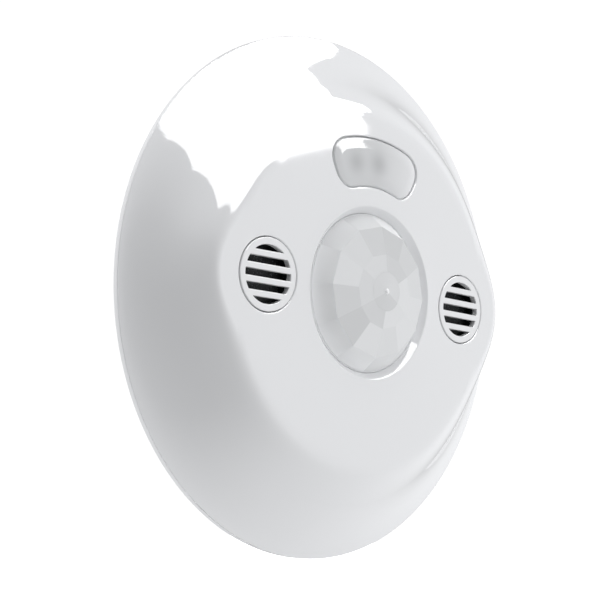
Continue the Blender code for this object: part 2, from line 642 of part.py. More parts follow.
def build_board(materials):
    """The circuit board and the screws that hold it to the posts."""
    board = place("circuit_board", prism_mesh("circuit_board", [(board_outline(), BOARD_BACK, BOARD_FRONT)]),
                  materials["board"])
    for number, (x, y) in enumerate(post_places(), start=1):
        hole = cylinder_mesh("hole", BOARD_SCREW_SHANK + GAP, BOARD_BACK - 1.0, BOARD_FRONT + 1.0, TINY)
        shape_with(board, hole, "DIFFERENCE", (x, y, 0.0))
        length = SEAT - POST_FLOOR - GAP
        screw = screw_mesh(BOARD_SCREW_HEAD, BOARD_HEAD_HEIGHT, BOARD_SCREW_SHANK, length)
        place(f"board_screw_{number}", screw, materials["steel"], (x, y, SEAT), (math.pi, 0.0, 0.0))


def build_detector(materials):
    """The infrared detector in the middle of the board, with its filter window."""
    top = SEAT + PIR_HEIGHT
    can = turned_mesh("pir_detector", [(0.0, SEAT), (PIR_FLANGE_RADIUS, SEAT),
                                       (PIR_FLANGE_RADIUS, SEAT + PIR_FLANGE_THICKNESS),
                                       (PIR_RADIUS, SEAT + PIR_FLANGE_THICKNESS), (PIR_RADIUS, top - 0.4),
                                       (PIR_RADIUS - 0.4, top), (0.0, top)], MEDIUM)
    place("pir_detector", can, materials["can"])
    width, depth, thickness = PIR_WINDOW
    pane = block_mesh("pir_filter", (width, depth), top + GAP, top + GAP + thickness)
    place("pir_filter", pane, materials["filter"])


def build_transducer(side_name, side, materials):
    """One ultrasonic transducer in its rubber boot."""
    spot = (side * GRILLE_OFFSET, 0.0, 0.0)
    mouth = TRANSDUCER_FRONT - TRANSDUCER_MOUTH_DEPTH
    can = turned_mesh("transducer", [(0.0, SEAT), (TRANSDUCER_RADIUS, SEAT),
                                     (TRANSDUCER_RADIUS, TRANSDUCER_FRONT),
                                     (TRANSDUCER_MOUTH, TRANSDUCER_FRONT), (TRANSDUCER_MOUTH, mouth),
                                     (0.0, mouth)], MEDIUM)
    place(f"{side_name}_transducer", can, materials["aluminium"], spot)
    inner = TRANSDUCER_RADIUS + GAP
    boot = ring_mesh("boot", inner, inner + BOOT_WALL, SEAT, SEAT + BOOT_HEIGHT)
    place(f"{side_name}_transducer_boot", boot, materials["rubber"], spot)


def build_indicators(materials):
    """Two indicator lamps and the daylight sensor behind the arc window."""
    shoulder = LED_HEIGHT - LED_RADIUS
    dome = [(LED_RADIUS * math.cos(math.radians(a)), shoulder + LED_RADIUS * math.sin(math.radians(a)))
            for a in (0, 30, 60)]
    profile = [(0.0, 0.0), (LED_COLLAR, 0.0), (LED_COLLAR, 0.8), (LED_RADIUS, 0.8), *dome, (0.0, LED_HEIGHT)]
    for name, side, colour in (("red_indicator", -1, "red_led"), ("green_indicator", 1, "green_led")):
        x, y = polar(LED_CIRCLE, 90 - side * LED_ANGLE)
        place(name, turned_mesh(name, profile, COARSE), materials[colour], (x, y, SEAT))
    cell = cylinder_mesh("daylight_sensor", PHOTOCELL_RADIUS, 0.0, PHOTOCELL_HEIGHT, COARSE)
    place("daylight_sensor", cell, materials["window"], (0.0, LED_CIRCLE, SEAT))


def build_trimmers(materials):
    """Four adjusting dials in a row, each turning in its own housing."""
    names = ("time_delay", "infrared_range", "ultrasonic_range", "daylight_level")
    for i, name in enumerate(names):
        x = (i - (len(names) - 1) / 2) * TRIMMER_PITCH
        top = SEAT + TRIMMER_HEIGHT
        block = block_mesh("housing", (TRIMMER_SIZE, TRIMMER_SIZE), 0.0, TRIMMER_HEIGHT)
        body = place(f"{name}_housing", block, materials["trimmer"], (x, TRIMMER_ROW, SEAT))
        seat_floor = TRIMMER_HEIGHT - DIAL_SINK
        seat = cylinder_mesh("seat", DIAL_RADIUS + GAP, seat_floor, TRIMMER_HEIGHT + 1.0, COARSE)
        shape_with(body, seat, "DIFFERENCE", (x, TRIMMER_ROW, SEAT))
        dial = place(f"{name}_dial", cylinder_mesh("dial", DIAL_RADIUS, 0.0, DIAL_HEIGHT, COARSE),
                     materials["dial"], (x, TRIMMER_ROW, top - DIAL_SINK + GAP))
        groove = block_mesh("groove", (DIAL_SLOT, 2.4 * DIAL_RADIUS), DIAL_HEIGHT / 2, DIAL_HEIGHT + 1.0)
        shape_with(dial, groove, "DIFFERENCE", (x, TRIMMER_ROW, top - DIAL_SINK + GAP))


def build_dip_switch(materials):
    """The bank of slide switches; each slider moves along +Y in its own groove."""
    width, depth, height = DIP_SIZE
    body = place("mode_switch_housing", block_mesh("dip", (width, depth), 0.0, height), materials["dip"],
                 (0.0, DIP_CENTRE_Y, SEAT))
    slider_width, slider_length, slider_height = DIP_SLIDER
    groove = (slider_width + 2 * GAP, slider_length + DIP_TRAVEL + 2 * GAP)
    for i in range(DIP_WAYS):
        x = (i - (DIP_WAYS - 1) / 2) * DIP_PITCH
        cut = block_mesh("groove", groove, height - DIP_SINK, height + 1.0)
        shape_with(body, cut, "DIFFERENCE", (x, DIP_CENTRE_Y, SEAT))
        slider = block_mesh("slider", (slider_width, slider_length), 0.0, slider_height)
        place(f"mode_slider_{i + 1}", slider, materials["dial"],
              (x, DIP_CENTRE_Y - DIP_TRAVEL / 2, SEAT + height - DIP_SINK + GAP))


def build_terminals(materials):
    """The terminal block for the field wires, with a release button over each wire hole."""
    width, depth, height = TERMINAL_SIZE
    spot = (0.0, TERMINAL_CENTRE_Y, SEAT)
    body = place("terminal_block", block_mesh("terminal", (width, depth), 0.0, height), materials["terminal"],
                 spot)
    button_width, button_depth, button_height = BUTTON_SIZE
    pocket_floor = height + BUTTON_PROUD - button_height - BUTTON_TRAVEL - GAP
    for i in range(TERMINAL_WAYS):
        x = (i - (TERMINAL_WAYS - 1) / 2) * TERMINAL_PITCH
        pocket_size = (button_width + 2 * GAP, button_depth + 2 * GAP)
        pocket = block_mesh("pocket", pocket_size, pocket_floor, height + 1.0)
        shape_with(body, pocket, "DIFFERENCE", (x, TERMINAL_CENTRE_Y + BUTTON_SETBACK, SEAT))
        hole = cylinder_mesh("wire_hole", WIRE_HOLE_RADIUS, 0.0, WIRE_HOLE_DEPTH + 1.0, 12)
        shape_with(body, hole, "DIFFERENCE",
                   (x, TERMINAL_CENTRE_Y - depth / 2 - 1.0, SEAT + WIRE_HOLE_LEVEL), (-math.pi / 2, 0.0, 0.0))
        button = block_mesh("button", (button_width, button_depth), 0.0, button_height)
        place(f"release_button_{i + 1}", button, materials["button"],
              (x, TERMINAL_CENTRE_Y + BUTTON_SETBACK, SEAT + height + BUTTON_PROUD - button_height))


def build_components(materials):
    """The remaining parts on the board: chip, relay, crystal and capacitors."""
    name, x, y, side, height = CHIP
    place(name, block_mesh(name, (side, side), 0.0, height), materials["chip"], (x, y, SEAT))
    name, x, y, size, height = RELAY
    place(name, block_mesh(name, size, 0.0, height), materials["relay"], (x, y, SEAT))
    name, x, y, size, height = CRYSTAL
    place(name, block_mesh(name, size, 0.0, height, size[1] / 2 - 0.01), materials["can"], (x, y, SEAT))
    for name, degrees, radius, height in CAPACITORS:
        x, y = polar(RETAINER_RADIUS + CAPACITOR_SPACE, degrees)
        profile = [(0.0, 0.0), (radius - 0.3, 0.0), (radius, 0.3), (radius, height - 0.4),
                   (radius - 0.4, height), (0.0, height)]
        place(name, turned_mesh(name, profile, COARSE), materials["sleeve"], (x, y, SEAT))


def make_materials():
    """Every material of the sensor, by name."""
    return {
        "cover": make_material("white_gloss_plastic", (0.86, 0.865, 0.87), 0.16),
        "lens": make_material("milky_lens", (0.84, 0.85, 0.855), 0.3),
        "window": make_material("translucent_window", (0.62, 0.63, 0.64), 0.15),
        "inner_plastic": make_material("white_inner_plastic", (0.8, 0.8, 0.79), 0.5),
        "screen": make_material("dark_screen", (0.02, 0.024, 0.027), 0.6),
        "steel": make_material("zinc_steel", (0.62, 0.62, 0.6), 0.35, 1.0),
        "board": make_material("green_board", (0.03, 0.16, 0.07), 0.4),
        "can": make_material("nickel_can", (0.7, 0.69, 0.66), 0.25, 1.0),
        "filter": make_material("dark_filter", (0.05, 0.05, 0.06), 0.1),
        "aluminium": make_material("aluminium_can", (0.72, 0.73, 0.74), 0.35, 1.0),
        "rubber": make_material("black_rubber", (0.03, 0.03, 0.03), 0.8),
        "red_led": make_material("red_led", (0.6, 0.05, 0.04), 0.15),
        "green_led": make_material("green_led", (0.05, 0.5, 0.12), 0.15),
        "trimmer": make_material("blue_trimmer", (0.05, 0.14, 0.45), 0.4),
        "dial": make_material("ivory_plastic", (0.82, 0.8, 0.72), 0.45),
        "dip": make_material("red_switch", (0.45, 0.04, 0.04), 0.45),
        "terminal": make_material("green_terminal", (0.06, 0.3, 0.14), 0.45),
        "button": make_material("orange_button", (0.75, 0.28, 0.05), 0.45),
        "chip": make_material("black_epoxy", (0.02, 0.02, 0.022), 0.5),
        "relay": make_material("black_relay", (0.03, 0.03, 0.035), 0.35),
        "sleeve": make_material("capacitor_sleeve", (0.03, 0.04, 0.08), 0.3),
    }


def main():
    """Build every piece of the sensor."""
    materials = make_materials()
    build_cover(materials)
    build_lens(materials)
    build_window(materials)
    for side_name, side in (("left", -1), ("right", 1)):
        build_grille(side_name, side, materials)
        build_transducer(side_name, side, materials)
    build_base(materials)
    build_board(materials)
    build_detector(materials)
    build_indicators(materials)
    build_trimmers(materials)
    build_dip_switch(materials)
    build_terminals(materials)
    build_components(materials)


clear_scene()
FRAME = bpy.data.objects.new("sensor_frame", None)
bpy.context.scene.collection.objects.link(FRAME)
FRAME.rotation_euler = (math.pi / 2, 0.0, 0.0)
main()
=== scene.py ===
"""Looks of the ceiling occupancy sensor.

They are a gloss cover, a faceted lens, sound grilles, an arc window and the board behind them.

Pieces are laid out face up in millimetres: +X to the right grille, +Y to the arc window, +Z out of the face.
They are then stood up in the row frame, where the face looks along -Y and the arc window is uppermost.
"""

import logging
import math
from dataclasses import dataclass
from enum import Enum
from typing import Callable, Iterable, Optional, Sequence

import bpy
import numpy as np
from mathutils import Matrix, Vector
from mathutils.geometry import delaunay_2d_cdt


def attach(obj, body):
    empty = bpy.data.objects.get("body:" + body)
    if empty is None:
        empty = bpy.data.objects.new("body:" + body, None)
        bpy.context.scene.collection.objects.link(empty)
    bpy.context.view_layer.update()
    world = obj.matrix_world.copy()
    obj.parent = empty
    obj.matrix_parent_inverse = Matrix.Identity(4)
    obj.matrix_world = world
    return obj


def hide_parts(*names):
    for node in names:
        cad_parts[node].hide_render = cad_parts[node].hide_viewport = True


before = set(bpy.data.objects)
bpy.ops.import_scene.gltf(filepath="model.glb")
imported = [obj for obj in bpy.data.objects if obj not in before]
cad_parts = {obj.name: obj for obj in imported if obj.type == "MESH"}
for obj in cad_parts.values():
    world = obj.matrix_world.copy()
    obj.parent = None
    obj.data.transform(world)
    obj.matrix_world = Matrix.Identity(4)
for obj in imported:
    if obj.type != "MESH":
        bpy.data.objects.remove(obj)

logging.basicConfig(level=logging.INFO, format="%(levelname)s %(message)s")
LOG = logging.getLogger("sensor")

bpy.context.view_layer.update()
MM = 0.001
Point2 = tuple[float, float]
Point3 = tuple[float, float, float]
Colour = tuple[float, float, float]
Operand = bpy.types.NodeSocket | float
ColourOperand = bpy.types.NodeSocket | float | Colour
TINY = 1e-9
AXIS_GAP = 1e-4               # a turned path that starts on the axis stays this far off it
KEYS_PER_MM = 2000            # points nearer than half of 1 / KEYS_PER_MM count as one
MIX_FACTOR, MIX_FIRST, MIX_SECOND, MIX_RESULT = 0, 6, 7, 2    # sockets of a colour mix


# ---------------------------------------------------------------- drafting
class Draft:
    """Points, normals, painted light and shade, and faces of one piece, laid out face up in millimetres."""

    def __init__(self) -> None:
        """Start with nothing drawn."""
        self.points: list[Point3] = []
        self.normals: list[Point3] = []
        self.painted_lights: list[float] = []
        self.faces: list[tuple[int, ...]] = []

    def add(self, point: Sequence[float], normal: Sequence[float], painted_light: float = 1.0) -> int:
        """Add one point.

        Args:
            point: its place, in millimetres.
            normal: its surface normal, of any length.
            painted_light: its painted light and shade, a factor on the colour; 1 for none.

        Returns:
            The point's number.
        """
        self.points.append(tuple(point))
        self.normals.append(tuple(normal))
        self.painted_lights.append(painted_light)
        return len(self.points) - 1

    def ring(self, points: Iterable[Sequence[float]], normals: Iterable[Sequence[float]],
             painted_light: float = 1.0) -> list[int]:
        """Add a row of points with their normals and painted light, and return their numbers."""
        return [self.add(p, n, painted_light) for p, n in zip(points, normals)]

    def bridge(self, first: Sequence[int], second: Sequence[int], closed: bool = True) -> None:
        """Join two rows of equal length with quads."""
        count = len(first)
        for i in range(count if closed else count - 1):
            j = (i + 1) % count
            self.faces.append((first[i], first[j], second[j], second[i]))

    def hoop(self, radius: float, height: float, angles: Sequence[float], normal: Point2) -> list[int]:
        """Add a ring about +Z.

        Args:
            radius: the ring's radius.
            height: its height.
            angles: where its points lie, in radians.
            normal: how far its normals point outwards and upwards.

        Returns:
            The points' numbers.
        """
        out, up = normal
        around = [(math.cos(a), math.sin(a)) for a in angles]
        return self.ring([(radius * c, radius * s, height) for c, s in around],
                         [(out * c, out * s, up) for c, s in around])

    def skin(self, rows: Sequence[Sequence[int]], closed: bool = True) -> None:
        """Join each row to the next with quads."""
        for first, second in zip(rows, rows[1:]):
            self.bridge(first, second, closed)

    def soften_creases(self) -> None:
        """Give points that lie on each other the mean of their normals, which rounds creases."""
        sums: dict[tuple[int, int, int], np.ndarray] = {}
        keys = [tuple(int(round(c * KEYS_PER_MM)) for c in p) for p in self.points]
        for key, normal in zip(keys, self.normals):
            vector = np.array(normal, dtype=float)
            sums[key] = sums.get(key, np.zeros(3)) + vector / max(np.linalg.norm(vector), TINY)
        self.normals = [tuple(sums[key]) if np.linalg.norm(sums[key]) > 1e-6 else normal
                        for key, normal in zip(keys, self.normals)]

    def moved(self, matrix: Matrix) -> "Draft":
        """Move and turn everything drawn so far, and return the draft itself."""
        turn = matrix.to_3x3()
        self.points = [tuple(matrix @ Vector(p)) for p in self.points]
        self.normals = [tuple(turn @ Vector(n)) for n in self.normals]
        return self

    def placed(self, x: float, y: float, z: float = 0.0, degrees: float = 0.0) -> "Draft":
        """Turn the draft about +Z, carry it to a place and return it."""
        return self.moved(Matrix.Translation((x, y, z)) @ Matrix.Rotation(math.radians(degrees), 4, "Z"))

    def take(self, other: "Draft") -> None:
        """Copy another draft's points and faces into this one."""
        shift = len(self.points)
        self.points += other.points
        self.normals += other.normals
        self.painted_lights += other.painted_lights
        self.faces += [tuple(i + shift for i in face) for face in other.faces]

    def piece(self, name: str, material: bpy.types.Material, body: str, slot: Optional[str] = None,
              replaces: Sequence[str] = ()) -> bpy.types.Object:
        """Make the piece and hang it on its body.

        Args:
            name: the piece's name.
            material: its finish.
            body: the body that it rides on.
            slot: the record's material slot, where it has one; not used.
            replaces: the nodes that it stands for.

        Returns:
            The new object.
        """
        points, normals = np.array(self.points), np.array(self.normals, dtype=float)
        normals /= np.maximum(np.linalg.norm(normals, axis=1), TINY)[:, None]
        faces = [self._outward(face, points, normals) for face in self.faces]
        mesh = bpy.data.meshes.new(name)
        mesh.from_pydata(stand(points) * MM, [], faces)
        mesh.shade_smooth()
        # painted light and shade: a factor on the colour for each point, kept as a colour attribute
        if max(self.painted_lights) - min(self.painted_lights) > 1e-6:
            layer = mesh.color_attributes.new("painted_light", "FLOAT_COLOR", "POINT")
            layer.data.foreach_set("color", np.repeat(np.array(self.painted_lights), 4))
        mesh.normals_split_custom_set_from_vertices(stand(normals))
        mesh.materials.append(material)
        obj = bpy.data.objects.new(name, mesh)
        bpy.context.scene.collection.objects.link(obj)
        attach(obj, body)
        if replaces:
            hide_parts(*replaces)
        LOG.info("%s: %d faces on %s", name, len(faces), body)
        return obj

    @staticmethod
    def _outward(face: tuple[int, ...], points: np.ndarray, normals: np.ndarray) -> tuple[int, ...]:
        """The face turned so that its front agrees with its points' normals."""
        corners = points[list(face)]
        following = np.roll(corners, -1, axis=0)
        area = np.cross(corners, following).sum(axis=0)
        return face if float(area @ normals[list(face)].sum(axis=0)) >= 0 else tuple(reversed(face))


def stand(vectors: np.ndarray) -> np.ndarray:
    """Turn face-up vectors into the row frame: +Z becomes -Y, and +Y becomes +Z."""
    return np.stack((vectors[:, 0], -vectors[:, 2], vectors[:, 1]), axis=1)


def full_turn(count: int) -> list[float]:
    """Angles of points spread evenly round a circle, in radians."""
    return [2 * math.pi * i / count for i in range(count)]


def circle(radius: float, count: int, centre: Point2 = (0.0, 0.0)) -> list[Point2]:
    """Points of a circle, anticlockwise."""
    turn = 2 * math.pi / count
    return [(centre[0] + radius * math.cos(i * turn), centre[1] + radius * math.sin(i * turn))
            for i in range(count)]


def rounded_rectangle(width: float, depth: float, corner: float, steps: int = 8) -> list[Point2]:
    """Points of a rectangle with round corners about the origin, anticlockwise."""
    points = []
    for index, (sx, sy) in enumerate(((1, 1), (-1, 1), (-1, -1), (1, -1))):
        cx, cy = sx * (width / 2 - corner), sy * (depth / 2 - corner)
        for step in range(steps + 1):
            angle = (index + step / steps) * math.pi / 2
            points.append((cx + corner * math.cos(angle), cy + corner * math.sin(angle)))
    return points


def outline_normals(outline: Sequence[Point2]) -> list[Point2]:
    """Unit normals that point out of an anticlockwise outline, one for each of its points."""
    normals = []
    count = len(outline)
    for i in range(count):
        (x0, y0), (x1, y1), (x2, y2) = outline[i - 1], outline[i], outline[(i + 1) % count]
        a, b = (x1 - x0, y1 - y0), (x2 - x1, y2 - y1)
        la, lb = math.hypot(*a) or TINY, math.hypot(*b) or TINY
        nx, ny = a[1] / la + b[1] / lb, -a[0] / la - b[0] / lb
        length = math.hypot(nx, ny) or TINY
        normals.append((nx / length, ny / length))
    return normals


def inside(outline: np.ndarray, points: np.ndarray) -> np.ndarray:
    """Which points lie inside an outline, by counting crossings."""
    x, y = points[:, 0][:, None], points[:, 1][:, None]
    x0, y0 = outline[:, 0][None], outline[:, 1][None]
    x1, y1 = np.roll(x0, -1), np.roll(y0, -1)
    crosses = (y0 > y) != (y1 > y)
    run = np.where(y1 == y0, 1e-12, y1 - y0)
    return (crosses & (x < (x1 - x0) * (y - y0) / run + x0)).sum(axis=1) % 2 == 1


def fillet_path(corners: Sequence[Point2], radius: float, closed: bool, steps: int = 4) -> list[tuple]:
    """Round the corners of a path of straight runs.

    Args:
        corners: (radius, height) corners, running out along the top, down the outside and in underneath.
        radius: the largest fillet; a short run gets a smaller one.
        closed: whether the last corner joins the first.
        steps: points along a fillet.

    Returns:
        (point, normal) pairs in order; the normals point out of the material.
    """
    count = len(corners)
    path = []
    for i in range(count):
        here = np.array(corners[i], dtype=float)
        if not closed and i in (0, count - 1):
            other = np.array(corners[1] if i == 0 else corners[-2], dtype=float)
            run = (other - here) if i == 0 else (here - other)
            run /= np.linalg.norm(run) or TINY
            path.append((tuple(here), (-run[1], run[0])))
            continue
        before, after = np.array(corners[i - 1], dtype=float), np.array(corners[(i + 1) % count], dtype=float)
        come, go = here - before, after - here
        reach = min(radius, 0.45 * np.linalg.norm(come), 0.45 * np.linalg.norm(go))
        come, go = come / (np.linalg.norm(come) or TINY), go / (np.linalg.norm(go) or TINY)
        for k in range(steps + 1):
            t = k / steps
            point = (1 - t) ** 2 * (here - come * reach) + 2 * t * (1 - t) * here + t**2 * (here + go * reach)
            run = (1 - t) * come + t * go
            path.append((tuple(point), (-run[1], run[0])))
    return path


def turned(corners: Sequence[Point2], radius: float = 0.15, count: int = 64, closed: bool = False,
           steps: int = 4) -> Draft:
    """Turn a rounded path about +Z.

    Args:
        corners: (radius, height) corners as in fillet_path; an open path may start and end on the axis.
        radius: the fillet's radius.
        count: points round the axis.
        closed: whether the path closes on itself.
        steps: points along a fillet.

    Returns:
        The draft of the turned piece.
    """
    draft = Draft()
    rows = []
    for (r, z), normal in fillet_path(corners, radius, closed, steps):
        rows.append(draft.hoop(max(r, AXIS_GAP), z, full_turn(count), normal))
    draft.skin(rows + (rows[:1] if closed else []))
    return draft


def fill(draft: Draft, loops: Sequence[Sequence[int]], extra: Sequence[int] = ()) -> None:
    """Fill the flat area between a first, outer loop of points and the loops inside it.

    Args:
        draft: holds the points.
        loops: rows of point numbers; the first goes round the outside.
        extra: numbers of further points inside the area.
    """
    order = [i for loop in loops for i in loop] + list(extra)
    flat = [Vector(draft.points[i][:2]) for i in order]
    edges, start = [], 0
    for loop in loops:
        edges += [(start + i, start + (i + 1) % len(loop)) for i in range(len(loop))]
        start += len(loop)
    verts, _, faces, origin, _, _ = delaunay_2d_cdt(flat, edges, [], 0, 1e-5)
    centres = np.array([np.mean([verts[i] for i in face], axis=0) for face in faces])
    keep = inside(np.array([draft.points[i][:2] for i in loops[0]]), centres)
    for loop in loops[1:]:
        keep &= ~inside(np.array([draft.points[i][:2] for i in loop]), centres)
    for face, kept in zip(faces, keep):
        if kept:
            draft.faces.append(tuple(order[origin[i][0]] for i in face))


def plate(outline: Sequence[Point2], low: float, high: float, holes: Sequence[Sequence[Point2]] = (),
          fillet: float = 0.2, steps: int = 3) -> Draft:
    """A flat plate with holes and rounded edges.

    Args:
        outline: the outside, anticlockwise.
        low: height of the back.
        high: height of the front.
        holes: outlines of the holes, anticlockwise.
        fillet: radius of every edge.
        steps: points along a fillet.

    Returns:
        The draft of the plate.
    """
    draft = Draft()
    fillet = min(fillet, (high - low) * 0.45)
    fronts, backs = [], []
    for index, loop in enumerate((outline, *holes)):
        side = 1.0 if index == 0 else -1.0
        out = [(side * nx, side * ny) for nx, ny in outline_normals(loop)]
        rows = []
        for level, sign in ((high, 1.0), (low, -1.0)):
            turns = [k / steps * math.pi / 2 for k in range(steps + 1)]
            for t in turns if sign > 0 else reversed(turns):
                inset, drop = fillet * (1 - math.sin(t)), fillet * (1 - math.cos(t))
                height = level - sign * drop
                rows.append(draft.ring(
                    [(x - nx * inset, y - ny * inset, height) for (x, y), (nx, ny) in zip(loop, out)],
                    [(nx * math.sin(t), ny * math.sin(t), sign * math.cos(t)) for nx, ny in out]))
        draft.skin(rows)
        fronts.append(rows[0])
        backs.append(rows[-1])
    for loops in (fronts, backs):
        if len(loops) == 1 and is_convex(outline):
            draft.faces.append(tuple(loops[0]))
        else:
            fill(draft, loops)
    return draft


def is_convex(outline: Sequence[Point2]) -> bool:
    """Whether an anticlockwise outline never turns right."""
    count = len(outline)
    for i in range(count):
        (x0, y0), (x1, y1), (x2, y2) = outline[i - 1], outline[i], outline[(i + 1) % count]
        if (x1 - x0) * (y2 - y1) - (y1 - y0) * (x2 - x1) < -TINY:
            return False
    return True


def block(width: float, depth: float, low: float, high: float, corner: float = 0.3, fillet: float = 0.15,
          centre: Point2 = (0.0, 0.0)) -> Draft:
    """A small block with round edges, standing at a centre between two heights."""
    outline = [(x + centre[0], y + centre[1]) for x, y in rounded_rectangle(width, depth, corner, 4)]
    return plate(outline, low, high, (), fillet)


def polar(radius: float, degrees: float) -> Point2:
    """Point at a radius and an angle in degrees."""
    return radius * math.cos(math.radians(degrees)), radius * math.sin(math.radians(degrees))


# ---------------------------------------------------------------- shader effects
class Socket(Enum):
    """Kinds of socket that an effect may show."""

    VALUE = "NodeSocketFloat"
    COLOUR = "NodeSocketColor"


def link(tree: bpy.types.NodeTree, source: bpy.types.NodeSocket, target: bpy.types.NodeSocket) -> None:
    """Join two sockets."""
    tree.links.new(source, target)


def new_effect(name: str, inputs: Sequence[tuple], outputs: Sequence[tuple]) -> tuple:
    """Start an effect group.

    Args:
        name: the group's name.
        inputs: (name, kind, default) of each input.
        outputs: (name, kind) of each output.

    Returns:
        The group's tree, its input node and its output node.
    """
    tree = bpy.data.node_groups.new(name, "ShaderNodeTree")
    for label, kind, default in inputs:
        socket = tree.interface.new_socket(name=label, in_out="INPUT", socket_type=kind.value)
        socket.default_value = default
    for label, kind in outputs:
        tree.interface.new_socket(name=label, in_out="OUTPUT", socket_type=kind.value)
    return tree, tree.nodes.new("NodeGroupInput"), tree.nodes.new("NodeGroupOutput")


def maths(tree: bpy.types.NodeTree, operation: str, first: Operand, second: Optional[Operand] = None,
          third: Optional[Operand] = None) -> bpy.types.NodeSocket:
    """A maths node; each operand is a socket or a number."""
    node = tree.nodes.new("ShaderNodeMath")
    node.operation = operation
    for index, operand in enumerate((first, second, third)):
        if operand is None:
            continue
        if isinstance(operand, (int, float)):
            node.inputs[index].default_value = operand
        else:
            link(tree, operand, node.inputs[index])
    return node.outputs[0]


def coordinates(tree: bpy.types.NodeTree) -> bpy.types.NodeSocket:
    """The piece's own coordinates, in metres."""
    return tree.nodes.new("ShaderNodeTexCoord").outputs["Object"]


def noise(tree: bpy.types.NodeTree, scale: Operand, detail: float = 3.0,
          rough: float = 0.5) -> bpy.types.NodeSocket:
    """Smooth noise over the piece's own coordinates; `scale` is a number or a socket, per metre."""
    node = tree.nodes.new("ShaderNodeTexNoise")
    node.inputs["Detail"].default_value = detail
    node.inputs["Roughness"].default_value = rough
    link(tree, coordinates(tree), node.inputs["Vector"])
    if isinstance(scale, (int, float)):
        node.inputs["Scale"].default_value = scale
    else:
        link(tree, scale, node.inputs["Scale"])
    return node.outputs["Fac"]


def mixed(tree: bpy.types.NodeTree, factor: Operand, first: ColourOperand,
          second: ColourOperand) -> bpy.types.NodeSocket:
    """A colour mix; each operand is a socket, a number or a colour."""
    node = tree.nodes.new("ShaderNodeMix")
    node.data_type = "RGBA"
    for index, operand in ((MIX_FACTOR, factor), (MIX_FIRST, first), (MIX_SECOND, second)):
        if isinstance(operand, (int, float)):
            node.inputs[index].default_value = operand
        elif isinstance(operand, tuple):
            node.inputs[index].default_value = (*operand, 1.0)
        else:
            link(tree, operand, node.inputs[index])
    return node.outputs[MIX_RESULT]


def make_mottle() -> bpy.types.NodeTree:
    """Effect: faint cloudiness and moulding texture of plastic."""
    tree, enter, leave = new_effect(
        "mould_mottle",
        [("Colour", Socket.COLOUR, (0.8, 0.8, 0.8, 1.0)), ("Shade", Socket.COLOUR, (0.7, 0.7, 0.7, 1.0)),
         ("Amount", Socket.VALUE, 0.2), ("Cloud Scale", Socket.VALUE, 60.0),
         ("Grain Scale", Socket.VALUE, 2500.0),
         ("Roughness", Socket.VALUE, 0.3), ("Roughness Spread", Socket.VALUE, 0.1)],
        [("Colour", Socket.COLOUR), ("Roughness", Socket.VALUE), ("Height", Socket.VALUE)])
    cloud = noise(tree, enter.outputs["Cloud Scale"], 4.0)
    grain = noise(tree, enter.outputs["Grain Scale"], 2.0)
    amount = maths(tree, "MULTIPLY", cloud, enter.outputs["Amount"])
    link(tree, mixed(tree, amount, enter.outputs["Colour"], enter.outputs["Shade"]), leave.inputs["Colour"])
    spread = maths(tree, "MULTIPLY", maths(tree, "SUBTRACT", grain, 0.5), enter.outputs["Roughness Spread"])
    link(tree, maths(tree, "ADD", spread, enter.outputs["Roughness"]), leave.inputs["Roughness"])
    link(tree, grain, leave.inputs["Height"])
    return tree


def make_specks() -> bpy.types.NodeTree:
    """Effect: round specks scattered over a surface, such as the pores of a mesh or glass fibre ends."""
    tree, enter, leave = new_effect(
        "scattered_specks",
        [("Scale", Socket.VALUE, 1500.0), ("Size", Socket.VALUE, 0.3)],
        [("Mask", Socket.VALUE), ("Height", Socket.VALUE)])
    cells = tree.nodes.new("ShaderNodeTexVoronoi")
    link(tree, coordinates(tree), cells.inputs["Vector"])
    link(tree, enter.outputs["Scale"], cells.inputs["Scale"])
    link(tree, maths(tree, "LESS_THAN", cells.outputs["Distance"], enter.outputs["Size"]), leave.inputs["Mask"])
    link(tree, cells.outputs["Distance"], leave.inputs["Height"])
    return tree


def make_brushing() -> bpy.types.NodeTree:
    """Effect: fine drawn lines of metal, along the face's depth."""
    tree, enter, leave = new_effect(
        "drawn_lines", [("Scale", Socket.VALUE, 900.0), ("Stretch", Socket.VALUE, 0.05)],
        [("Mask", Socket.VALUE), ("Height", Socket.VALUE)])
    shape = tree.nodes.new("ShaderNodeVectorMath")
    shape.operation = "MULTIPLY"
    axis = tree.nodes.new("ShaderNodeCombineXYZ")
    axis.inputs[0].default_value = 1.0
    axis.inputs[2].default_value = 1.0
    link(tree, enter.outputs["Stretch"], axis.inputs[1])
    link(tree, coordinates(tree), shape.inputs[0])
    link(tree, axis.outputs[0], shape.inputs[1])
    lines = tree.nodes.new("ShaderNodeTexNoise")
    link(tree, shape.outputs[0], lines.inputs["Vector"])
    link(tree, enter.outputs["Scale"], lines.inputs["Scale"])
    link(tree, lines.outputs["Fac"], leave.inputs["Mask"])
    link(tree, lines.outputs["Fac"], leave.inputs["Height"])
    return tree


def make_blobs() -> bpy.types.NodeTree:
    """Effect: one soft round shadow at a place behind a translucent pane."""
    tree, enter, leave = new_effect(
        "soft_shadow",
        [("Place X", Socket.VALUE, 0.0), ("Place Z", Socket.VALUE, 0.0), ("Reach", Socket.VALUE, 0.003)],
        [("Mask", Socket.VALUE)])
    parts = tree.nodes.new("ShaderNodeSeparateXYZ")
    link(tree, coordinates(tree), parts.inputs[0])
    across = maths(tree, "SUBTRACT", parts.outputs[0], enter.outputs["Place X"])
    along = maths(tree, "SUBTRACT", parts.outputs[2], enter.outputs["Place Z"])
    square = maths(tree, "ADD", maths(tree, "POWER", maths(tree, "ABSOLUTE", across), 2.0),
                   maths(tree, "POWER", maths(tree, "ABSOLUTE", along), 2.0))
    scaled = maths(tree, "DIVIDE", square, maths(tree, "POWER", enter.outputs["Reach"], 2.0))
    link(tree, maths(tree, "EXPONENT", maths(tree, "MULTIPLY", scaled, -1.0)), leave.inputs["Mask"])
    return tree


EFFECTS = {"mottle": make_mottle(), "specks": make_specks(), "brushing": make_brushing(),
           "shadow": make_blobs()}


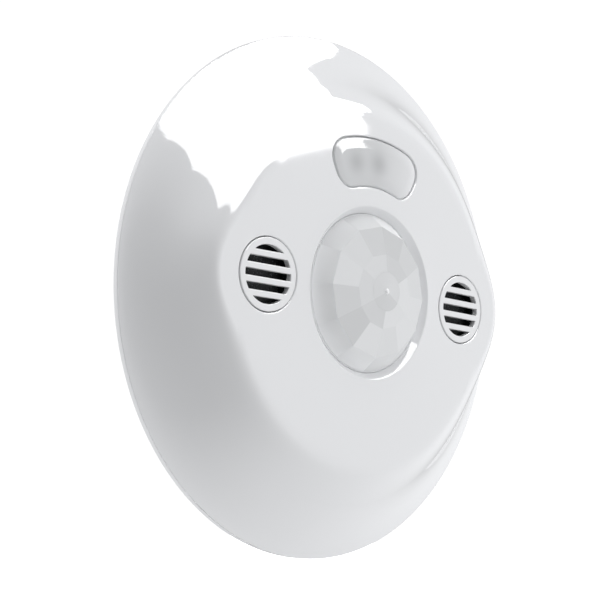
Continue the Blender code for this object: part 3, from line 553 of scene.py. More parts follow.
class Canvas:
    """A new material with its Principled shader, and short ways to place effects in it."""

    def __init__(self, name: str) -> None:
        """Start the material `name`."""
        self.material = bpy.data.materials.new(name)
        self.material.use_nodes = True
        self.tree = self.material.node_tree
        self.shader = self.tree.nodes["Principled BSDF"]

    def set(self, **values) -> "Canvas":
        """Set plain values on the shader's own sockets; an underscore stands for a space."""
        for name, value in values.items():
            self.shader.inputs[name.replace("_", " ")].default_value = value
        return self

    def effect(self, key: str, **values) -> bpy.types.Node:
        """Place an effect with its own values and return its node."""
        node = self.tree.nodes.new("ShaderNodeGroup")
        node.node_tree = EFFECTS[key]
        for name, value in values.items():
            node.inputs[name.replace("_", " ")].default_value = value
        return node

    def feed(self, socket: bpy.types.NodeSocket, name: str) -> None:
        """Feed one of the shader's sockets."""
        link(self.tree, socket, self.shader.inputs[name])

    def bump(self, height: bpy.types.NodeSocket, strength: float, distance: float) -> None:
        """Feed the normal from a height; the distance is in metres."""
        node = self.tree.nodes.new("ShaderNodeBump")
        node.inputs["Strength"].default_value = strength
        node.inputs["Distance"].default_value = distance
        link(self.tree, height, node.inputs["Height"])
        link(self.tree, node.outputs["Normal"], self.shader.inputs["Normal"])


@dataclass(frozen=True)
class Plastic:
    """Moulded plastic: a colour that clouds towards a shade, with fine grain and, where asked, painted light and
    shade per point.
    """

    name: str
    colour: Colour
    shade: Colour
    roughness: float
    spread: float = 0.05
    clouding: float = 0.4
    grain: float = 0.02
    specular: float = 0.5
    # whether the colour is multiplied by the piece's painted light and shade
    shows_painted_light: bool = False

    def material(self) -> bpy.types.Material:
        """Build the finish."""
        canvas = Canvas(self.name)
        node = canvas.effect("mottle", Colour=(*self.colour, 1.0), Shade=(*self.shade, 1.0),
                             Amount=self.clouding, Roughness=self.roughness, Roughness_Spread=self.spread)
        colour = node.outputs["Colour"]
        # painted light and shade: the colour is multiplied by each point's factor
        if self.shows_painted_light:
            painted_light = canvas.tree.nodes.new("ShaderNodeAttribute")
            painted_light.attribute_name = "painted_light"
            mix = canvas.tree.nodes.new("ShaderNodeMix")
            mix.data_type, mix.blend_type = "RGBA", "MULTIPLY"
            mix.inputs[MIX_FACTOR].default_value = 1.0
            link(canvas.tree, colour, mix.inputs[MIX_FIRST])
            link(canvas.tree, painted_light.outputs["Color"], mix.inputs[MIX_SECOND])
            colour = mix.outputs[MIX_RESULT]
        canvas.feed(colour, "Base Color")
        canvas.feed(node.outputs["Roughness"], "Roughness")
        canvas.set(Specular_IOR_Level=self.specular)
        if self.grain:
            canvas.bump(node.outputs["Height"], self.grain, 0.0001)
        return canvas.material


@dataclass(frozen=True)
class Metal:
    """Plated or drawn metal with fine lines."""

    name: str
    colour: Colour
    roughness: float
    stretch: float = 0.05
    lines: float = 900.0
    line_shade: float = 0.82
    line_spread: float = 0.14

    def material(self) -> bpy.types.Material:
        """Build the finish."""
        canvas = Canvas(self.name)
        node = canvas.effect("brushing", Scale=self.lines, Stretch=self.stretch)
        shade = tuple(c * self.line_shade for c in self.colour)
        canvas.feed(mixed(canvas.tree, node.outputs["Mask"], self.colour, shade), "Base Color")
        spread = maths(canvas.tree, "MULTIPLY_ADD", node.outputs["Mask"], self.line_spread,
                       self.roughness - self.line_spread / 2)
        canvas.feed(spread, "Roughness")
        canvas.set(Metallic=1.0)
        canvas.bump(node.outputs["Height"], 0.12, 0.0001)
        return canvas.material


@dataclass(frozen=True)
class Screen:
    """Fine blackened wire mesh with pale specks of light in its pores."""

    name: str
    colour: Colour
    speck: Colour
    scale: float = 2100.0
    size: float = 0.2

    def material(self) -> bpy.types.Material:
        """Build the finish."""
        canvas = Canvas(self.name)
        node = canvas.effect("specks", Scale=self.scale, Size=self.size)
        canvas.feed(mixed(canvas.tree, node.outputs["Mask"], self.colour, self.speck), "Base Color")
        canvas.set(Roughness=0.6, Specular_IOR_Level=0.3)
        canvas.bump(node.outputs["Height"], 0.5, 0.0002)
        return canvas.material


@dataclass(frozen=True)
class Pane:
    """Translucent pane with painted soft shadows of the lamps behind it, and painted light towards its right end.
    """

    name: str
    colour: Colour
    painted_light_colour: Colour
    shadow: Colour
    places: tuple[Point2, ...]
    reach: float
    painted_light_reach: float = 12.5

    def material(self) -> bpy.types.Material:
        """Build the finish."""
        canvas = Canvas(self.name)
        parts = canvas.tree.nodes.new("ShaderNodeSeparateXYZ")
        link(canvas.tree, coordinates(canvas.tree), parts.inputs[0])
        # painted light: the pane's colour brightens towards its right end
        painted_light_ramp = canvas.tree.nodes.new("ShaderNodeMapRange")
        link(canvas.tree, parts.outputs[0], painted_light_ramp.inputs["Value"])
        painted_light_ramp.inputs["From Min"].default_value = 0.0
        painted_light_ramp.inputs["From Max"].default_value = self.painted_light_reach * MM
        colour = mixed(canvas.tree, painted_light_ramp.outputs["Result"], self.colour, self.painted_light_colour)
        for x, z in self.places:
            spot = canvas.effect("shadow", Place_X=x * MM, Place_Z=z * MM, Reach=self.reach * MM)
            colour = mixed(canvas.tree, spot.outputs["Mask"], colour, self.shadow)
        canvas.feed(colour, "Base Color")
        mottle = canvas.effect("mottle", Roughness=0.05, Roughness_Spread=0.02)
        canvas.feed(mottle.outputs["Roughness"], "Roughness")
        canvas.set(IOR=1.5)
        return canvas.material


@dataclass(frozen=True)
class Laminate:
    """Glass-epoxy board under green solder mask, with buried copper and fine glass weave."""

    name: str
    mask: Colour
    copper: Colour

    def material(self) -> bpy.types.Material:
        """Build the finish."""
        canvas = Canvas(self.name)
        bricks = canvas.tree.nodes.new("ShaderNodeTexBrick")
        place = canvas.tree.nodes.new("ShaderNodeMapping")
        place.inputs["Rotation"].default_value = (math.radians(90), 0.0, 0.0)
        link(canvas.tree, coordinates(canvas.tree), place.inputs["Vector"])
        link(canvas.tree, place.outputs["Vector"], bricks.inputs["Vector"])
        for label, value in (("Scale", 420.0), ("Mortar Size", 0.035), ("Mortar Smooth", 0.1),
                             ("Brick Width", 1.7), ("Row Height", 0.42)):
            bricks.inputs[label].default_value = value
        tracks = bricks.outputs["Fac"]
        cloud = noise(canvas.tree, 90.0, 3.0)
        where = maths(canvas.tree, "MULTIPLY", tracks, maths(canvas.tree, "GREATER_THAN", cloud, 0.47))
        canvas.feed(mixed(canvas.tree, where, self.mask, self.copper), "Base Color")
        canvas.set(Roughness=0.32, Coat_Weight=0.4)
        weave = noise(canvas.tree, 3000.0, 1.0)
        canvas.bump(maths(canvas.tree, "ADD", maths(canvas.tree, "MULTIPLY", where, 2.0), weave), 0.3, 0.00004)
        return canvas.material


@dataclass(frozen=True)
class Resin:
    """Tinted clear resin of an indicator lamp or a light cell."""

    name: str
    colour: Colour
    deep: Colour

    def material(self) -> bpy.types.Material:
        """Build the finish."""
        canvas = Canvas(self.name)
        cloud = noise(canvas.tree, 700.0, 2.0)
        canvas.feed(mixed(canvas.tree, cloud, self.colour, self.deep), "Base Color")
        canvas.set(Roughness=0.08, IOR=1.53, Transmission_Weight=0.55)
        return canvas.material


# ---------------------------------------------------------------- finishes
COVER_GLOSS = Plastic("cover_gloss", (0.83, 0.835, 0.845), (0.815, 0.82, 0.83), 0.045, 0.02, 0.5, 0.0)
COVER_INSIDE = Plastic("cover_inside", (0.78, 0.785, 0.79), (0.7, 0.705, 0.71), 0.42, 0.1, 0.5, 0.05)
GRILLE_GLOSS = Plastic("grille_gloss", (0.85, 0.852, 0.86), (0.82, 0.823, 0.83), 0.12, 0.04, 0.5, 0.01)
# the lens takes painted light and shade on each facet
LENS_MILK = Plastic("lens_milk", (0.86, 0.868, 0.875), (0.83, 0.838, 0.845), 0.55, 0.05, 0.5, 0.02, 0.02, True)
MOULDED_WHITE = Plastic("moulded_white", (0.78, 0.78, 0.765), (0.68, 0.68, 0.66), 0.46, 0.12, 0.55, 0.08)
SCREEN_MESH = Screen("screen_mesh", (0.006, 0.0075, 0.009), (0.09, 0.1, 0.11))
ZINC = Metal("zinc_plate", (0.66, 0.66, 0.63), 0.34)
NICKEL = Metal("nickel_plate", (0.72, 0.7, 0.66), 0.22, 0.3)
ALUMINIUM = Metal("drawn_aluminium", (0.75, 0.76, 0.77), 0.36, 0.5, 1500.0)
TINNED = Metal("tinned_leads", (0.7, 0.7, 0.7), 0.28, 1.0)
RUBBER = Plastic("boot_rubber", (0.025, 0.025, 0.026), (0.05, 0.05, 0.05), 0.75, 0.2, 0.6, 0.3, 0.3)
BLUE = Plastic("blue_housing", (0.03, 0.11, 0.42), (0.02, 0.08, 0.3), 0.4, 0.12, 0.6, 0.1)
IVORY = Plastic("ivory_dial", (0.82, 0.79, 0.7), (0.7, 0.66, 0.55), 0.42, 0.12, 0.5, 0.06)
RED = Plastic("red_housing", (0.42, 0.03, 0.03), (0.3, 0.02, 0.02), 0.42, 0.12, 0.6, 0.1)
TERMINAL_GREEN = Plastic("terminal_green", (0.045, 0.26, 0.11), (0.03, 0.19, 0.08), 0.42, 0.12, 0.6, 0.1)
ORANGE = Plastic("orange_button", (0.74, 0.25, 0.04), (0.6, 0.18, 0.03), 0.4, 0.12, 0.6, 0.08)
EPOXY = Plastic("black_epoxy", (0.016, 0.016, 0.018), (0.035, 0.035, 0.036), 0.5, 0.2, 0.6, 0.25)
RELAY_CASE = Plastic("relay_case", (0.02, 0.02, 0.024), (0.04, 0.04, 0.045), 0.32, 0.12, 0.6, 0.1)
SLEEVE = Plastic("capacitor_sleeve", (0.02, 0.03, 0.075), (0.035, 0.05, 0.11), 0.26, 0.08, 0.6, 0.05)
FILTER = Plastic("filter_pane", (0.03, 0.022, 0.03), (0.05, 0.035, 0.045), 0.08, 0.04, 0.6, 0.0)
SILK = Plastic("silk_print", (0.8, 0.8, 0.78), (0.7, 0.7, 0.68), 0.6, 0.1, 0.6, 0.1)
CERAMIC = Plastic("tan_ceramic", (0.45, 0.33, 0.2), (0.36, 0.25, 0.15), 0.5, 0.1, 0.6, 0.1)
BOARD = Laminate("board_laminate", (0.012, 0.105, 0.04), (0.03, 0.2, 0.075))
RED_RESIN = Resin("red_resin", (0.62, 0.03, 0.02), (0.4, 0.015, 0.01))
GREEN_RESIN = Resin("green_resin", (0.05, 0.5, 0.12), (0.02, 0.34, 0.07))
CELL_RESIN = Resin("cell_resin", (0.62, 0.52, 0.36), (0.5, 0.38, 0.22))


# ---------------------------------------------------------------- the cover's shape
@dataclass(frozen=True)
class CoverShape:
    """Sizes and surface of the flared cover, in millimetres."""

    rim: float = 57.15
    lip: float = 54.6
    band: float = 1.3
    slope: float = 0.35
    wall: float = 1.8
    crown: float = 16.46
    dome: float = 800.0
    shoulder: float = 41.0
    blend: float = 5.5
    pod_reach: float = 4.2
    pod_angle: float = 18.0
    well: float = 18.43
    bevel: float = 1.33
    grille_offset: float = 30.12
    grille_hole: float = 7.78
    window_middle: float = 28.15
    window_band: float = 10.5
    window_half_angle: float = 26.0
    window_corner: float = 4.4

    def height(self, radius: float, angle: float) -> float:
        """Height of the outer face at a radius and an angle in radians."""
        off_axis = math.degrees(abs(math.asin(max(-1.0, min(1.0, math.sin(angle))))))
        corner = self.shoulder + self.pod_reach * math.exp(-((off_axis / self.pod_angle) ** 2))
        plateau = self.crown - radius**2 / (2 * self.dome)
        reach = self.rim - corner
        bow = self.crown - corner**2 / (2 * self.dome) - self.band - self.slope * reach
        inward = self.rim - radius
        flare = self.band + self.slope * inward + bow * (inward / reach) ** 2
        blend = max(self.blend - abs(plateau - flare), 0.0) / self.blend
        return min(plateau, flare) - blend**2 * self.blend / 4

    def face(self, x: float, y: float) -> float:
        """Height of the outer face at a point."""
        return self.height(math.hypot(x, y), math.atan2(y, x))

    def back(self, x: float, y: float) -> float:
        """Height of the inner face at a point."""
        nx, ny, nz = self.normal(x, y)
        return self.face(x, y) - self.wall / max(nz, 0.3)

    def normal(self, x: float, y: float) -> Point3:
        """Unit normal of the outer face at a point."""
        step = 0.02
        dx = (self.face(x + step, y) - self.face(x - step, y)) / (2 * step)
        dy = (self.face(x, y + step) - self.face(x, y - step)) / (2 * step)
        length = math.sqrt(dx * dx + dy * dy + 1.0)
        return (-dx / length, -dy / length, 1.0 / length)

    def window_ring(self, inset: float, per_side: int = 26) -> tuple[list[Point2], list[Point2]]:
        """The arc window's outline, drawn inwards.

        Args:
            inset: how far inside the nominal outline the ring lies; below zero is outside.
            per_side: points along each long side.

        Returns:
            The ring's points and its outward unit normals.
        """
        middle = self.window_middle
        width = 2 * math.radians(self.window_half_angle) * middle - 2 * inset
        depth = self.window_band - 2 * inset
        corner = max(self.window_corner - inset, 0.02)
        flat: list[tuple[float, float, float, float]] = []
        steps = 10
        for index, (sx, sy) in enumerate(((1, 1), (-1, 1), (-1, -1), (1, -1))):
            cx, cy = sx * (width / 2 - corner), sy * (depth / 2 - corner)
            for step in range(steps + 1):
                angle = (index + step / steps) * math.pi / 2
                flat.append((cx + corner * math.cos(angle), cy + corner * math.sin(angle),
                             math.cos(angle), math.sin(angle)))
            end_x, end_y = flat[-1][:2]
            if index in (0, 2):
                target = -end_x
                for k in range(1, per_side):
                    flat.append((end_x + (target - end_x) * k / per_side, end_y, 0.0, float(sy)))
        points, normals = [], []
        for s, t, ns, nt in flat:
            across, along, radius = math.sin(s / middle), math.cos(s / middle), middle + t
            points.append((radius * across, radius * along))
            normals.append((nt * across + ns * along, nt * along - ns * across))
        # the bend mirrors the outline, so it is run backwards to stay anticlockwise
        return points[::-1], normals[::-1]


SHAPE = CoverShape()


@dataclass
class CoverShell:
    """The gloss cover: plateau with its openings, flare, rim, inner face, tongues and bosses."""

    shape: CoverShape = SHAPE
    columns: int = 360
    seam_ring: float = 39.4
    edge: float = 0.32
    grid: float = 1.7
    tongue_angles: tuple[float, ...] = (90.0, 210.0, 330.0)
    ear_angles: tuple[float, ...] = (35.0, 145.0, 215.0, 325.0)
    ear_circle: float = 23.0
    rim_round: float = 0.12
    flare_rows: int = 46
    flare_bias: float = 0.95
    back_rows: int = 16
    boss_bore: float = 1.1
    boss_radius: float = 2.2
    boss_foot: float = 13.1

    def openings(self, grow: float) -> list[tuple[list[Point2], list[Point2]]]:
        """Outlines and outward normals of the window's and the grilles' openings, grown by `grow`."""
        shape = self.shape
        rings = [shape.window_ring(-0.25 - grow)]
        for side in (-1, 1):
            centre = (side * shape.grille_offset, 0.0)
            radius = shape.grille_hole + grow
            points = circle(radius, 120, centre)
            rings.append((points, [((x - centre[0]) / radius, y / radius) for x, y in points]))
        return rings

    def build(self) -> Draft:
        """Draw the whole shell."""
        draft = Draft()
        shape = self.shape
        outer_ring = self._on_face(draft, circle(self.seam_ring, self.columns))
        well_ring = self._on_face(draft, circle(shape.well + self.edge, 180))
        tops = [outer_ring, well_ring]
        inner_loops = []
        for (grown, out), (plain, _) in zip(self.openings(self.edge), self.openings(0.0)):
            top = self._on_face(draft, grown)
            tops.append(top)
            inner_loops.append(self._mouth(draft, top, plain, out))
        grid = self._on_face(draft, self._grid_points())
        fill(draft, tops, grid)
        self._flare(draft, outer_ring)
        throat = self._well(draft, well_ring)
        self._inside(draft, throat, inner_loops)
        return draft

    def _on_face(self, draft: Draft, points: Iterable[Point2]) -> list[int]:
        """Add points of the outer face."""
        return [draft.add((x, y, self.shape.face(x, y)), self.shape.normal(x, y)) for x, y in points]

    def _grid_points(self) -> list[Point2]:
        """Points spread over the plateau, clear of its openings."""
        rings = self.openings(self.edge)
        edges = np.array([p for points, _ in rings for p in points])
        spots = []
        rows = int((self.seam_ring - self.shape.well) / self.grid)
        for row in range(1, rows):
            radius = self.shape.well + self.edge + row * (self.seam_ring - self.shape.well - self.edge) / rows
            spots += circle(radius, int(2 * math.pi * radius / self.grid))
        points = np.array(spots)
        keep = np.ones(len(points), dtype=bool)
        for outline, _ in rings:
            keep &= ~inside(np.array(outline), points)
        near = np.array([np.min(np.hypot(edges[:, 0] - x, edges[:, 1] - y)) for x, y in points])
        keep &= near > self.grid * 0.45
        return [tuple(p) for p in points[keep]]

    def _mouth(self, draft: Draft, top: list[int], plain: list[Point2], out: list[Point2]) -> list[int]:
        """Round an opening's edge and run its wall down to the inner face.

        Args:
            draft: holds the points.
            top: the ring that lies on the face.
            plain: the opening's own outline.
            out: normals that point from the opening into the cover.

        Returns:
            The ring at the inner face.
        """
        last = top
        steps = 5
        for k in range(1, steps + 1):
            turn = k / steps * math.pi / 2
            ring = []
            for (x, y), (ox, oy) in zip(plain, out):
                inset = self.edge * (1 - math.sin(turn))
                px, py = x + ox * inset, y + oy * inset
                nx, ny, nz = self.shape.normal(px, py)
                lean, drop = math.sin(turn), self.edge * (1 - math.cos(turn))
                normal = (nx * math.cos(turn) - ox * lean, ny * math.cos(turn) - oy * lean, nz * math.cos(turn))
                ring.append(draft.add((px, py, self.shape.face(px, py) - drop), normal))
            draft.bridge(last, ring)
            last = ring
        wall = draft.ring([(x, y, self.shape.back(x, y)) for x, y in plain],
                          [(-ox, -oy, 0.0) for ox, oy in out])
        draft.bridge(last, wall)
        return wall

    def _flare(self, draft: Draft, start: list[int]) -> None:
        """The shoulder, the flare, the rim's band and the rear lip, with the inner wall behind them."""
        shape = self.shape
        angles = full_turn(self.columns)
        last = start
        span = shape.rim - self.seam_ring
        for row in range(1, self.flare_rows + 1):
            radius = self.seam_ring + span * (row / self.flare_rows) ** self.flare_bias
            radius = min(radius, shape.rim - self.rim_round)
            ring = self._on_face(draft, [(radius * math.cos(a), radius * math.sin(a)) for a in angles])
            draft.bridge(last, ring)
            last = ring
        shoulder = shape.rim - self.rim_round
        edge_height = shape.height(shoulder, math.pi / 2)
        corners = [(shoulder, edge_height), (shape.rim, edge_height - self.rim_round),
                   (shape.rim, self.rim_round), (shoulder, 0.0), (shape.lip + 0.1, 0.0), (shape.lip, 0.1)]
        turns = [65.0, 10.0, 0.0, -60.0, -90.0, -135.0]
        for (radius, height), turn in zip(corners, turns):
            ring = draft.hoop(radius, height, angles, polar(1.0, turn))
            draft.bridge(last, ring)
            last = ring
        self.lip_ring = last

    def _well(self, draft: Draft, start: list[int]) -> list[int]:
        """The bevelled mouth of the lens well, down to the inner face.

        Args:
            draft: holds the points.
            start: the ring where the well's rounded edge leaves the face.

        Returns:
            The ring at the inner face.
        """
        shape = self.shape
        count = len(start)
        throat = shape.well - shape.bevel
        top = shape.height(shape.well, math.pi / 2)
        around = full_turn(count)
        steps = [(shape.well + self.edge * 0.45, top - 0.03, 12.0),
                 (shape.well + self.edge * 0.1, top - 0.12, 32.0),
                 (shape.well - 0.12, top - 0.32, 45.0), (throat + 0.14, top - shape.bevel + 0.02, 45.0),
                 (throat + 0.03, top - shape.bevel - 0.12, 68.0), (throat, top - shape.bevel - 0.3, 90.0),
                 (throat, shape.height(throat, 1.0) - shape.wall, 90.0)]
        last = start
        for radius, height, tilt in steps:
            inward, up = -math.sin(math.radians(tilt)), math.cos(math.radians(tilt))
            ring = draft.hoop(radius, height, around, (inward, up))
            draft.bridge(last, ring)
            last = ring
        return last

    def _inside(self, draft: Draft, throat: list[int], mouths: list[list[int]]) -> None:
        """The inner face, from the lip over the flare's back to the well and the openings."""
        shape = self.shape
        angles = full_turn(self.columns)
        last = self.lip_ring
        for radius in np.linspace(shape.lip, self.seam_ring, self.back_rows):
            ring = self._on_back(draft, [(radius * math.cos(a), radius * math.sin(a)) for a in angles])
            draft.bridge(last, ring)
            last = ring
        copies = []
        for loop in [throat, *mouths]:
            flat = [draft.points[i] for i in loop]
            copies.append(draft.ring(flat, [(0.0, 0.0, -1.0)] * len(flat)))
        fill(draft, [last, *copies])

    def _on_back(self, draft: Draft, points: Iterable[Point2]) -> list[int]:
        """Add points of the inner face."""
        ring = []
        for x, y in points:
            nx, ny, nz = self.shape.normal(x, y)
            ring.append(draft.add((x, y, max(self.shape.back(x, y), 0.3)), (-nx, -ny, -nz)))
        return ring

    def bosses(self) -> Draft:
        """The four bosses that take the lens retainer's screws."""
        draft = Draft()
        for angle in self.ear_angles:
            x, y = polar(self.ear_circle, angle)
            bore, side, low, top = self.boss_bore, self.boss_radius, self.boss_foot, self.shape.back(x, y)
            boss = turned([(bore, top), (side, top), (side, low), (bore, low)], 0.12, 32, True)
            draft.take(boss.placed(x, y))
        return draft

    def tongues(self) -> Draft:
        """The three snap tongues with their barbs."""
        draft = Draft()
        inner, thick, barb = 46.2, 1.4, 1.0
        for angle in self.tongue_angles:
            top = self.shape.back(*polar(inner + thick, angle)) + 0.3
            outer, tip = inner + thick, inner + thick + barb
            section = [(inner, 0.3), (outer, 0.3), (tip, 0.9), (tip, 1.5), (outer, 1.5), (outer, top), (inner, top)]
            flat = plate(section, -4.0, 4.0, (), 0.12)
            upright = Matrix(((1, 0, 0), (0, 0, 1), (0, 1, 0))).to_4x4()
            draft.take(flat.moved(Matrix.Rotation(math.radians(angle), 4, "Z") @ upright))
        return draft

    def dress(self) -> None:
        """Make the cover's pieces in their finishes."""
        gloss = COVER_GLOSS.material()
        self.build().piece("cover_shell", gloss, "cover", "cover_plastic", ("front_cover",))
        inner = COVER_INSIDE.material()
        self.bosses().piece("cover_bosses", inner, "cover", "cover_plastic")
        self.tongues().piece("cover_tongues", inner, "cover", "cover_plastic")


# ---------------------------------------------------------------- lens
@dataclass
class FresnelLens:
    """The faceted dome with its disc, two rings of facets, skirt and nub, with painted light and shade on each
    facet.
    """

    apex: float = 20.86
    dome: float = 42.0
    disc: float = 4.2
    inner: float = 8.0
    outer: float = 14.1
    foot_radius: float = 16.8
    foot: float = 15.06
    flange: float = 20.4
    flange_front: float = 14.1
    wall: float = 1.0
    crease: float = 0.14
    groove: float = 0.22
    facet_turn: float = 30.0
    nub: tuple[Point2, ...] = ((0.0, 0.28), (0.3, 0.28), (0.62, -0.02))
    nub_seat: float = 0.6
    # painted highlight of the nub, and painted light and shade of each facet: below 1 is painted shade, above 1
    # painted highlight
    nub_painted_highlight: float = 1.14
    disc_painted_light: tuple[float, ...] = (0.87, 0.815, 0.87)
    inner_painted_light: tuple[float, ...] = (0.9, 0.78, 0.9, 0.93, 0.87, 0.93)
    outer_painted_light: tuple[float, ...] = (0.815, 0.76, 0.73, 0.8, 0.93, 1.03, 0.94, 0.87, 1.0, 0.91, 0.9, 0.86)
    skirt_painted_light: tuple[float, ...] = (0.93, 1.0, 0.9, 0.85, 0.97, 1.12, 1.16, 1.14, 1.07, 0.88, 0.81, 0.98)

    def height(self, radius: float) -> float:
        """Height of the sphere that the facet corners lie on."""
        return self.apex - self.dome + math.sqrt(self.dome**2 - radius**2)

    def corner(self, radius: float, degrees: float) -> Point3:
        """A point of a ring with straight sides and a corner every `facet_turn` degrees."""
        step = self.facet_turn
        index = math.floor(degrees / step + TINY)
        t = degrees / step - index
        (x0, y0), (x1, y1) = polar(radius, step * index), polar(radius, step * (index + 1))
        return (x0 + (x1 - x0) * t, y0 + (y1 - y0) * t, self.height(radius))

    def facet(self, draft: Draft, start: float, end: float, low: Callable[[float], Point3],
              high: Callable[[float], Point3], painted_light: float, flat: bool) -> None:
        """Draw one facet between two angles.

        Args:
            draft: takes the facet.
            start: its first angle, in degrees.
            end: its last angle, in degrees.
            low: its inner edge, as a point for an angle.
            high: its outer edge, as a point for an angle.
            painted_light: its painted light and shade, a factor on its colour.
            flat: whether it has one normal all over.
        """
        span = math.hypot(*(np.array(high(end)) - np.array(high(start)))[:2]) or 1.0
        length = np.linalg.norm(np.array(high(start)) - np.array(low(start)))
        eu, ev = self.crease / span, self.crease / length
        us = [0.0, eu, *[eu + (1 - 2 * eu) * k / 8 for k in range(1, 8)], 1 - eu, 1.0]
        vs = [0.0, ev, 0.5, 1 - ev, 1.0]
        points = np.array([[np.array(low(start + (end - start) * u)) * (1 - v)
                            + np.array(high(start + (end - start) * u)) * v for u in us] for v in vs])
        centre_u = points[2, -1] - points[2, 0]
        centre_v = points[-1, 5] - points[0, 5]
        plain = np.cross(centre_v, centre_u)
        plain = plain if plain[2] > 0 else -plain
        rows = []
        for j in range(len(vs)):
            normals = []
            for i in range(len(us)):
                if flat:
                    normals.append(plain)
                    continue
                along = points[j, min(i + 1, len(us) - 1)] - points[j, max(i - 1, 0)]
                down = points[-1, i] - points[0, i]
                normal = np.cross(down, along)
                normals.append(normal if normal[2] > 0 else -normal)
            rows.append(draft.ring(points[j], normals, painted_light))
        draft.skin(rows, False)

    def build(self) -> Draft:
        """Draw the whole lens."""
        draft = Draft()
        seat = self.height(self.nub_seat)
        nub = turned([(r, seat + z) for r, z in self.nub], 0.1, 36)
        # painted highlight: the nub is lightened to a pale dot
        nub.painted_lights = [self.nub_painted_highlight] * len(nub.points)
        draft.take(nub)

        def on_circle(radius: float, height: float) -> Callable[[float], Point3]:
            """An edge that follows a circle at one height."""
            return lambda degrees: (*polar(radius, degrees), height)

        def on_ring(radius: float) -> Callable[[float], Point3]:
            """An edge that follows a ring's straight sides."""
            return lambda degrees: self.corner(radius, degrees)

        disc_edge = on_circle(self.disc, self.height(self.disc))
        # each facet takes its painted light and shade
        for k, painted_light in enumerate(self.disc_painted_light):
            self.facet(draft, 90 - 120 * (k + 1), 90 - 120 * k, on_circle(0.55, seat), disc_edge, painted_light, False)
        for k, painted_light in enumerate(self.inner_painted_light):
            self.facet(draft, 60 * k - 30, 60 * k + 30, disc_edge, on_ring(self.inner), painted_light, True)
        foot = on_circle(self.foot_radius, self.foot)
        for k, (painted_light, painted_skirt_light) in enumerate(zip(self.outer_painted_light, self.skirt_painted_light)):
            start, end = self.facet_turn * k, self.facet_turn * (k + 1)
            self.facet(draft, start, end, on_ring(self.inner), on_ring(self.outer), painted_light, True)
            self.facet(draft, start, end, on_ring(self.outer), foot, painted_skirt_light, False)
        draft.soften_creases()
        outside, inside_radius = self.foot_radius, self.foot_radius - self.wall
        ledge, behind = self.foot - self.groove, self.flange_front - self.wall
        neck = [(outside, self.foot), (outside, ledge), (outside + 0.26, ledge),
                (outside + 0.26, self.flange_front), (self.flange, self.flange_front), (self.flange, behind),
                (inside_radius, behind), (inside_radius, self.foot - self.wall),
                (self.outer - 0.6, self.height(self.outer) - self.wall),
                (self.inner, self.height(self.inner) - self.wall), (0.0, self.height(0.0) - self.wall)]
        draft.take(turned(neck, 0.1, 96, False, 2))
        return draft

    def dress(self) -> None:
        """Make the lens in its milky finish."""
        self.build().piece("lens_dome", LENS_MILK.material(), "cover", "lens_plastic", ("fresnel_lens",))


# ---------------------------------------------------------------- window
@dataclass
class IndicatorPane:
    """The pillowed arc pane over the two lamps."""

    shape: CoverShape = SHAPE
    edge: float = 0.45
    pillow: float = 0.34
    pillow_reach: float = 2.6
    tilt: float = 0.016
    depth: float = 2.4
    groove: float = 0.75

    def rise(self, inset: float) -> tuple[float, float]:
        """Height over the plateau at a distance inside the outline, and its slope there."""
        value = slope = 0.0
        if inset < self.edge:
            lean = (self.edge - inset) / self.edge
            lean = min(lean, 0.995)
            value -= self.edge * (1 - math.sqrt(1 - lean**2))
            slope += lean / math.sqrt(1 - lean**2)
        if inset < self.pillow_reach:
            rest = 1 - inset / self.pillow_reach
            value -= self.pillow * rest**2
            slope += 2 * self.pillow * rest / self.pillow_reach
        return value + self.pillow * 0.55, slope

    def build(self) -> Draft:
        """Draw the pane."""
        draft = Draft()
        insets = [0.0, 0.03, 0.08, 0.15, 0.24, 0.34, 0.45, 0.6, 0.8, 1.05, 1.35, 1.7, 2.1, 2.6, 3.2, 3.9, 4.6,
                  5.15]
        rows = []
        outline, out = self.shape.window_ring(0.0)
        for grow, drop, level in ((0.22, self.depth, 0.0), (0.22, self.groove, 0.0), (0.22, self.groove, 1.0),
                                  (0.0, self.groove, 1.0), (0.0, self.groove, 0.0)):
            ledge, _ = self.shape.window_ring(-grow)
            rows.append(draft.ring([(x, y, self.shape.face(x, y) - drop) for x, y in ledge],
                                   [(ox * (1 - level), oy * (1 - level), level) for ox, oy in out]))
        for inset in insets:
            points, out = self.shape.window_ring(inset)
            value, slope = self.rise(inset)
            ring = []
            for (x, y), (ox, oy) in zip(points, out):
                radius = math.hypot(x, y)
                gradient = -radius / self.shape.dome + self.tilt
                gx, gy = gradient * x / radius - slope * ox, gradient * y / radius - slope * oy
                level = self.shape.crown - radius**2 / (2 * self.shape.dome) + value
                level += self.tilt * (radius - self.shape.window_middle)
                ring.append(draft.add((x, y, level), (-gx, -gy, 1.0)))
            rows.append(ring)
        draft.skin(rows)
        fill(draft, [rows[-1]])
        flange, _ = self.shape.window_ring(-1.2)
        level = self.shape.crown - self.shape.wall - 1.0
        draft.take(plate(flange, level - 0.7, level, (), 0.1))
        return draft

    def dress(self) -> None:
        """Make the pane in its translucent finish, with painted lamp shadows and painted light towards its right
        end.
        """
        # the pane's colour, its painted light colour for the right end and its painted shadow colour for the lamps
        spots = (polar(28.0, 103.0), polar(28.0, 89.0))
        finish = Pane("pane_smoke", (0.64, 0.647, 0.655), (0.8, 0.805, 0.815), (0.5, 0.507, 0.515), spots, 2.4)
        self.build().piece("indicator_pane", finish.material(), "cover", "window_plastic",
                           ("indicator_window",))


